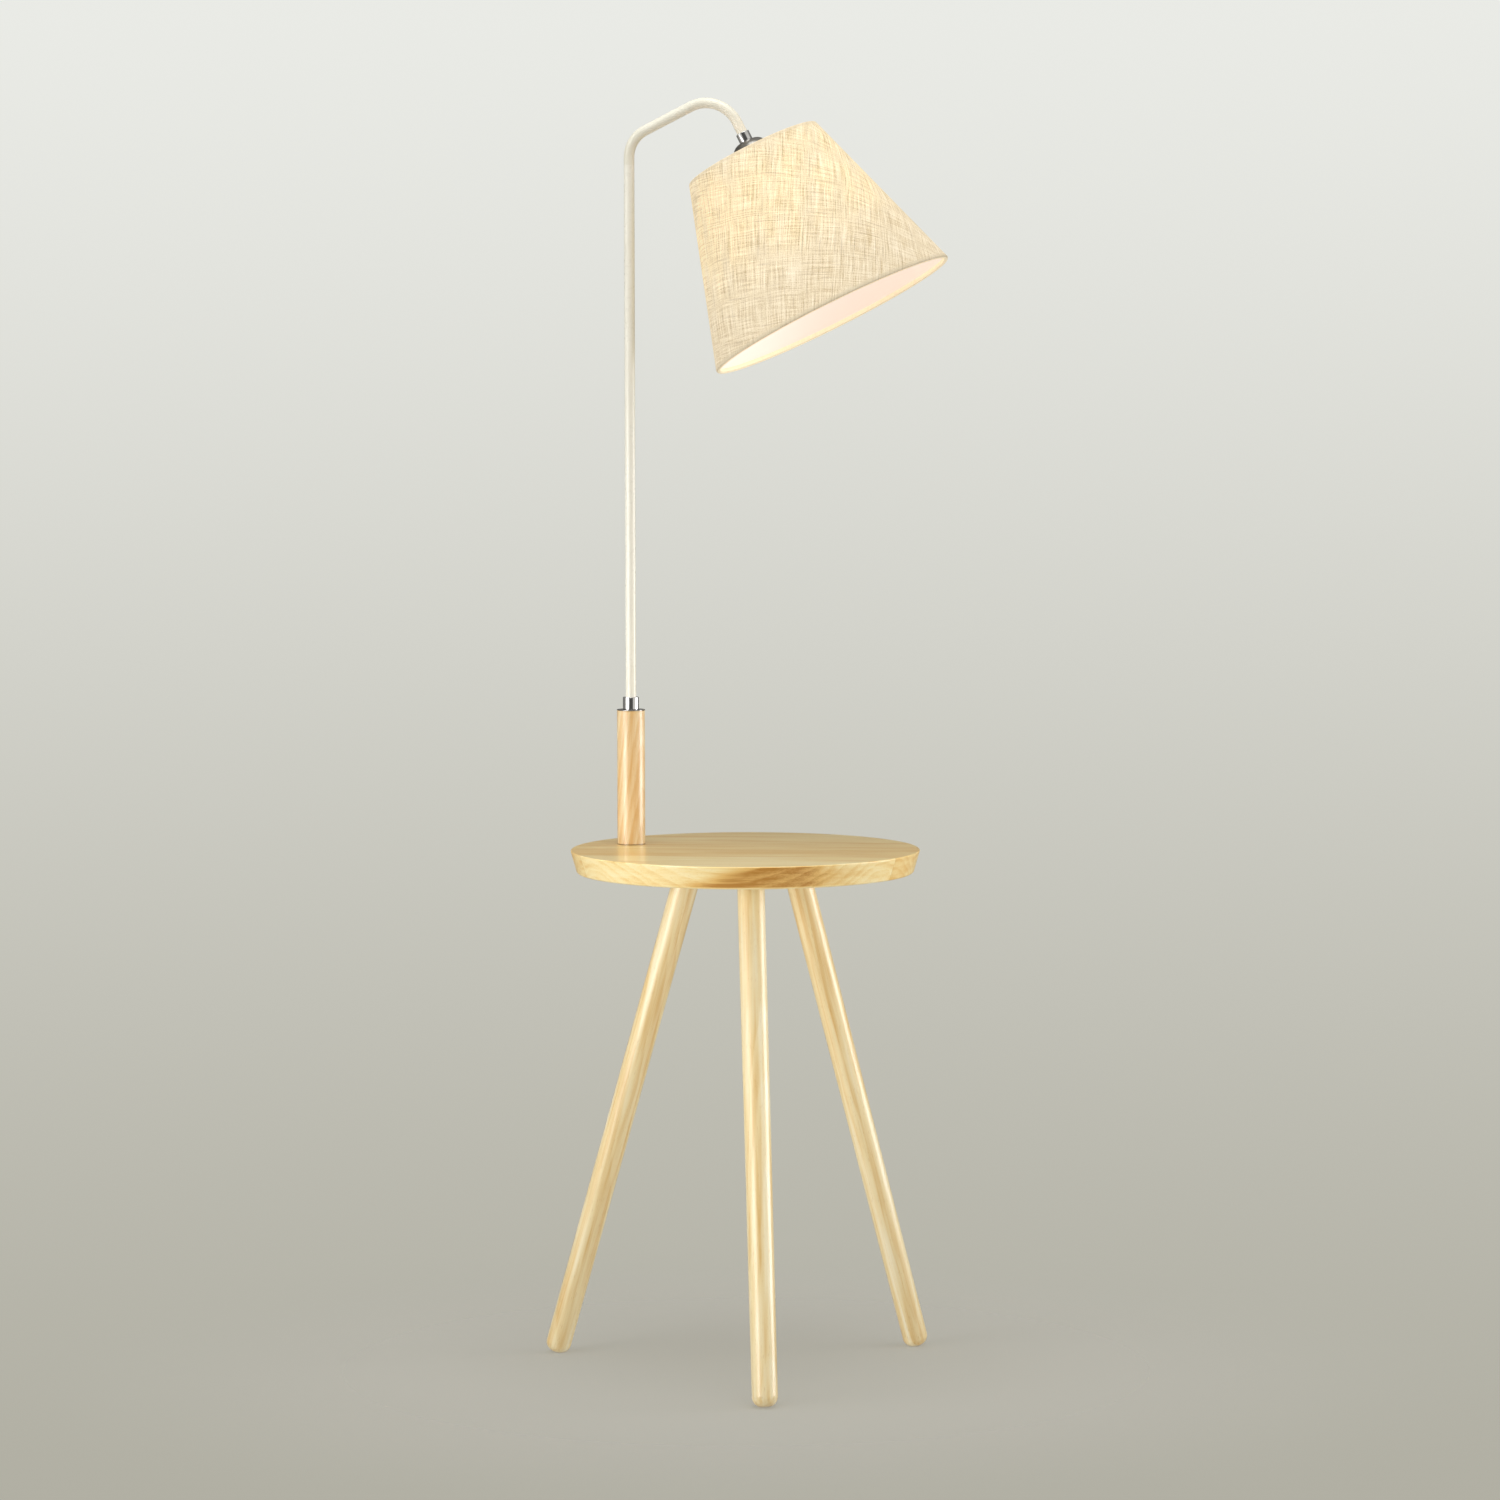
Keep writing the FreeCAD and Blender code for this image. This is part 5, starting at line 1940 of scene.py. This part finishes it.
@dataclass(frozen=True)
class Shade:
    """Linen over a plastic liner, rolled round two hoops, on a wire fitter; metres."""

    cone: ShadeCone
    linen: float = 0.8 * MM
    hoop_wire: float = 2.4 * MM
    hoop_room: float = 0.5 * MM
    hem_width: float = 3.2 * MM
    hem_lap: float = 2 * MM
    liner: float = 0.6 * MM
    liner_room: float = 0.15 * MM  # between its edge and a hoop
    glue: float = 0.05 * MM
    arm_wire: float = 3.2 * MM
    arm_count: int = 3
    fitter_outer: float = 54 * MM
    fitter_inner: float = 39.3 * MM
    fitter_top: float = 43 * MM
    fitter_foot: float = 44.6 * MM
    fitter_edge: float = 0.3 * MM
    panel_middle: float = math.radians(-18)
    sides: int = 160
    wall_steps: int = 24
    hoop_steps: int = 10

    @property
    def hoop_inset(self) -> float:
        """Distance of the hoop's middle from the wall's outside."""
        return self.linen + self.hoop_room + self.hoop_wire / 2

    def on_wall(self, along: float, inset: float = 0.0) -> Station:
        """A station on the wall, down the slope from the upper rim and in from the outside."""
        return Station(*self.cone.on_wall(along, inset))

    def around_hoop(self, along: float, radius: float, start: float, sweep: float) -> list[Station]:
        """Stations of an arc about a hoop, with angles in degrees from the wall's outward side.

        Args:
            along: How far down the slope the hoop is.
            radius: The arc's radius.
            start: Its first angle.
            sweep: The angle that it goes through.

        Returns:
            The stations.
        """
        middle_radius, middle_drop = self.cone.on_wall(along, self.hoop_inset)
        stations = []
        for number in range(self.hoop_steps + 1):
            angle = math.radians(start + sweep * number / self.hoop_steps) - self.cone.slope
            across = middle_radius + radius * math.cos(angle)
            stations.append(Station(across, middle_drop + radius * math.sin(angle)))
        return stations

    def make_skin(self) -> bpy.types.Object:
        """Linen wall whose two ends are rolled over the hoops and lapped back inside.

        Returns:
            The skin, in the head's frame.
        """
        outer = high = self.hoop_inset
        inner = outer - self.linen
        low = self.cone.wall_length - outer
        lap = (self.linen + self.hem_lap, self.hem_lap)
        stations = []
        for number in range(1, self.wall_steps):
            stations.append(self.on_wall(high + (low - high) * number / self.wall_steps))
        stations += self.around_hoop(low, outer, 0, 180)
        stations += [self.on_wall(low - self.hem_width, inset) for inset in lap]
        stations += self.around_hoop(low, inner, 180, -180)
        stations += self.around_hoop(high, inner, 0, -180)
        stations += [self.on_wall(high + self.hem_width, inset) for inset in reversed(lap)]
        stations += self.around_hoop(high, outer, -180, 180)
        return Turning("linen_skin", stations, self.sides, closed=True).make()

    def make_liner(self) -> bpy.types.Object:
        """White plastic wall inside the linen, between the hoops.

        Returns:
            The liner, in the head's frame.
        """
        outside = self.linen + self.glue
        inside = outside + self.liner
        high = self.hoop_inset + self.hoop_wire / 2 + self.liner_room
        low = self.cone.wall_length - high
        corners = ((high, outside), (low, outside), (low, inside), (high, inside))
        stations = [self.on_wall(*corner) for corner in corners]
        return Turning("plastic_liner", stations, self.sides, closed=True).make()

    def make_hoop(self, along: float) -> bpy.types.Object:
        """A wire hoop: a circle that is spun about the axis.

        Args:
            along: How far down the slope it is.

        Returns:
            The hoop, in the head's frame.
        """
        radius, drop = self.cone.on_wall(along, self.hoop_inset)
        hoop = circle("hoop", self.hoop_wire / 2, 16)
        edit(put(hoop, shift(radius, 0, drop) @ turn(math.pi / 2, "X")))
        bpy.ops.mesh.spin(steps=self.sides, angle=FULL_TURN, center=(0, 0, 0), axis=(0, 0, 1))
        return close_up(hoop)

    def make_fitter(self) -> bpy.types.Object:
        """Upper hoop, three wire arms and the flat ring that the lampholder's ring clamps.

        Returns:
            The fitter, in the head's frame.
        """
        ends = (self.fitter_top, self.fitter_foot)
        ring = pipe("fitter_ring", self.fitter_outer, self.fitter_inner, *ends, self.fitter_edge)
        parts = [ring.make(), self.make_hoop(self.hoop_inset)]
        hoop_radius, hoop_drop = self.cone.on_wall(self.hoop_inset, self.hoop_inset)
        start = Vector(((self.fitter_outer - self.arm_wire) / 2, 0, sum(ends) / 2))
        reach = Vector((hoop_radius, 0, hoop_drop)) - start
        tilt = Vector((0, 0, 1)).rotation_difference(reach).to_matrix().to_4x4()
        for number in range(self.arm_count):
            about = turn((number + 0.5) * FULL_TURN / self.arm_count, "Z")
            arm = Bending("arm", self.arm_wire, about @ Matrix.Translation(start) @ tilt, 16)
            parts.append(arm.run(reach.length, 4).done())
        return rename(join(parts), "wire_fitter")

    def flat_cut(self) -> tuple[tuple[float, float], float]:
        """Size of the flat piece of linen before it is rolled into a cone.

        Returns:
            Its width and length, and its area.
        """
        cone = self.cone
        hem = math.pi * self.hoop_inset + self.hem_width
        far = cone.bottom_radius / math.sin(cone.slope) + hem
        near = cone.top_radius / math.sin(cone.slope) - hem
        sector = FULL_TURN * math.sin(cone.slope)
        width = 2 * far * math.sin(sector / 2)
        length = far - near * math.cos(sector / 2)
        return (width, length), sector / 2 * (far**2 - near**2)

    def build(self, shop: Shop) -> None:
        """Models and dresses the shade.

        Args:
            shop: Takes the finished pieces.
        """
        skin = self.make_skin()
        wire = Moulded("white_wire", tone(238, 236, 230), tone(224, 220, 210), 0.3)
        rows = (
            (skin, Linen("linen", self.cone, self.panel_middle), "linen", "shade_skin"),
            (self.make_liner(), Liner("liner_plastic", self.cone), "liner_plastic", "shade_liner"),
            (self.make_fitter(), wire, "white_wire", "shade_fitter"),
        )
        shop.fit_all(self.cone.frame, Body.HEAD, rows)
        flat, area = self.flat_cut()
        shop.finish_nodes(wire, "shade_bottom_wire")


# ---- Studio ------------------------------------------------------------------------------------


@dataclass(frozen=True)
class Viewpoint:
    """The camera, as fitted to the photograph."""

    azimuth: float = CAMERA_AZIMUTH
    distance: float = 7.0573
    height: float = 1.3122
    aside: float = 0.0008
    pitch: float = 0.0846  # down
    roll: float = -0.0018
    focal_pixels: float = 6201.7
    image_pixels: float = 1500.0
    sensor: float = 36.0  # millimetres

    def build(self) -> None:
        """Makes the camera and sets it as the scene's."""
        up = Vector((0, 0, 1))
        ahead = Vector((-math.sin(self.azimuth), math.cos(self.azimuth), 0))
        right = Vector((ahead.y, -ahead.x, 0))
        place = up * self.height - ahead * self.distance
        facing = ahead * math.cos(self.aside) + right * math.sin(self.aside)
        side = right * math.cos(self.aside) - ahead * math.sin(self.aside)
        sight = facing * math.cos(self.pitch) - up * math.sin(self.pitch)
        top = up * math.cos(self.pitch) + facing * math.sin(self.pitch)
        rolled_side = side * math.cos(self.roll) + top * math.sin(self.roll)
        rolled_top = top * math.cos(self.roll) - side * math.sin(self.roll)
        data = bpy.data.cameras.new("camera")
        data.sensor_width = self.sensor
        data.lens = self.focal_pixels / self.image_pixels * self.sensor
        data.clip_start = 0.1
        data.clip_end = 100
        camera = bpy.data.objects.new("camera", data)
        axes = Matrix((rolled_side, rolled_top, -sight)).transposed().to_4x4()
        camera.matrix_world = Matrix.Translation(place) @ axes
        bpy.context.scene.collection.objects.link(camera)
        bpy.context.scene.camera = camera


@dataclass(frozen=True)
class Softbox:
    """A rectangular studio light that faces the lamp."""

    name: str
    azimuth: float  # degrees from -Y towards +X
    distance: float
    height: float
    size: tuple[float, float]
    power: float
    aim: float
    spread: float = 180.0  # degrees, as with a grid in front

    def build(self) -> None:
        """Makes the light."""
        angle = math.radians(self.azimuth)
        place = Vector((math.sin(angle), -math.cos(angle), 0)) * self.distance + Vector((0, 0, self.height))
        data = bpy.data.lights.new(self.name, "AREA")
        data.shape = "RECTANGLE"
        data.size, data.size_y = self.size
        data.energy = self.power
        data.spread = math.radians(self.spread)
        light = bpy.data.objects.new(self.name, data)
        facing = (Vector((0, 0, self.aim)) - place).to_track_quat("-Z", "Y")
        light.matrix_world = Matrix.Translation(place) @ facing.to_matrix().to_4x4()
        light.visible_camera = False
        bpy.context.scene.collection.objects.link(light)


@dataclass(frozen=True)
class Studio:
    """Pale floor that runs into a pale backdrop, and soft light from both sides."""

    front: float = CAMERA_AZIMUTH  # that the room's light is set about
    floor_radius: float = 0.95
    floor_solid: float = 0.3  # radius within which the floor is solid
    floor_tone: Colour = tone(198, 197, 192)
    floor_cover: float = 0.45  # how much of the paper sweep under it the floor hides
    low_tone: Colour = (176 / 255, 174 / 255, 162 / 255, 1.0)  # as a screen shows it
    high_tone: Colour = (233 / 255, 234 / 255, 229 / 255, 1.0)
    low_angle: float = math.radians(-11.6)
    high_angle: float = math.radians(1.9)
    room_front: float = 0.1
    room_sides: float = 0.86
    room_back: float = 0.22
    room_above: float = 0.68
    side_edge: tuple[float, float] = (22.0, 42.0)  # degrees from the front, where the bright walls begin
    back_edge: tuple[float, float] = (82.0, 104.0)  # and where they end
    above_edge: tuple[float, float] = (0.35, 0.8)  # sine of the angle above or below the horizon
    room_tint: Colour = (1.0, 0.975, 0.915, 1.0)

    softboxes: tuple[Softbox, ...] = (
        Softbox("key_left", -25, 2.0, 0.55, (1.5, 1.0), 3.4, 0.5, 50),
        Softbox("key_right", 118, 2.0, 0.55, (1.3, 1.0), 3.2, 0.5, 50),
        Softbox("fill_left", -45, 2.0, 1.8, (0.7, 0.6), 0.85, 1.3, 60),
        Softbox("top_light", 25, 0.5, 2.8, (1.2, 1.2), 18.5, 0.6),
    )

    def build_floor(self) -> None:
        """A floor that fades into the backdrop away from the lamp."""
        floor = put(circle("floor", self.floor_radius, 128, filled=True), shift(0, 0, -0.1 * MM))
        material = bpy.data.materials.new("floor_paper")
        material.use_nodes = True
        graph = Graph(material.node_tree)
        x, y, _ = graph.split(graph.place())
        cover = graph.rise(graph.distance(x, y), self.floor_radius * 0.97, self.floor_solid)
        grain = graph.noise(graph.place(), 400.0, 2.0)
        relief = graph.bump(grain, 0.1 * MM, 0.2)
        varying = {"Base Color": self.floor_tone, "Alpha": cover * self.floor_cover, "Normal": relief}
        graph.surface(varying, {"Roughness": 0.9, "Specular IOR Level": 0.1})
        floor.data.materials.append(material)

    def build_backdrop(self) -> None:
        """World: the photographed fade for the camera, bright walls at both sides for the light."""
        world = bpy.data.worlds.new("studio")
        bpy.context.scene.world = world
        world.use_nodes = True
        graph = Graph(world.node_tree)
        x, y, z = graph.split(graph.node("ShaderNodeTexCoord", output="Generated"))
        low, high = math.sin(self.low_angle), math.sin(self.high_angle)
        straight = graph.node("ShaderNodeMapRange", feeds={"Value": z, "From Min": low, "From Max": high})
        share = (straight + graph.rise(z, low, high)) * 0.5
        fade = graph.mix(share, self.low_tone, self.high_tone)
        seen = graph.node("ShaderNodeGamma", feeds={"Color": fade, "Gamma": 2.2})
        ahead = x * math.sin(self.front) - y * math.cos(self.front)
        aside = x * math.cos(self.front) + y * math.sin(self.front)
        angle = graph.math("ABSOLUTE", graph.math("ARCTAN2", aside, ahead))
        walls = graph.rise(angle, *map(math.radians, self.side_edge)) * (self.room_sides - self.room_front)
        back = graph.rise(angle, *map(math.radians, self.back_edge)) * (self.room_back - self.room_sides)
        level = walls + back + self.room_front
        height = graph.rise(graph.math("ABSOLUTE", z), *self.above_edge)
        room = height * self.room_above + (1 - height) * level
        path = graph.node("ShaderNodeLightPath", output="Is Camera Ray")
        eye = graph.node("ShaderNodeBackground", feeds={"Color": seen, "Strength": 1.0})
        light = graph.node("ShaderNodeBackground", feeds={"Color": self.room_tint, "Strength": room})
        both = graph.node("ShaderNodeMixShader", feeds={0: path, 1: light, 2: eye})
        graph.node("ShaderNodeOutputWorld", feeds={"Surface": both})

    def build(self) -> None:
        """Makes the floor, the backdrop and the lights."""
        self.build_floor()
        self.build_backdrop()
        for softbox in self.softboxes:
            softbox.build()
        bpy.context.scene.view_settings.view_transform = "Standard"


# ---- The lamp ----------------------------------------------------------------------------------


def main() -> None:
    """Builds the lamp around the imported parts."""
    logging.basicConfig(level=logging.INFO, format="%(name)s: %(message)s")
    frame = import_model()
    shop = Shop(frame)
    Viewpoint().build()
    Studio().build()
    line = ArmLine()
    cone = ShadeCone(
        frame=line.head,
        top_radius=80 * MM,
        bottom_radius=147 * MM,
        top_drop=25.2 * MM,
        height=207 * MM,
        bulb_drop=118.6 * MM,
    )
    Table().build(shop)
    Post().build(shop)
    Upright(line).build(shop)
    Neck(line).build(shop)
    Head(cone).build(shop)
    Shade(cone).build(shop)
    flex = Moulded("flex_sheath", tone(240, 238, 232), tone(224, 220, 210), 0.45)
    shop.finish_nodes(flex, "flex_in_post", "flex_in_upright", "flex_in_head")
    log.info("%d pieces modelled", len(shop.made))


if __name__ == "__main__":
    main()
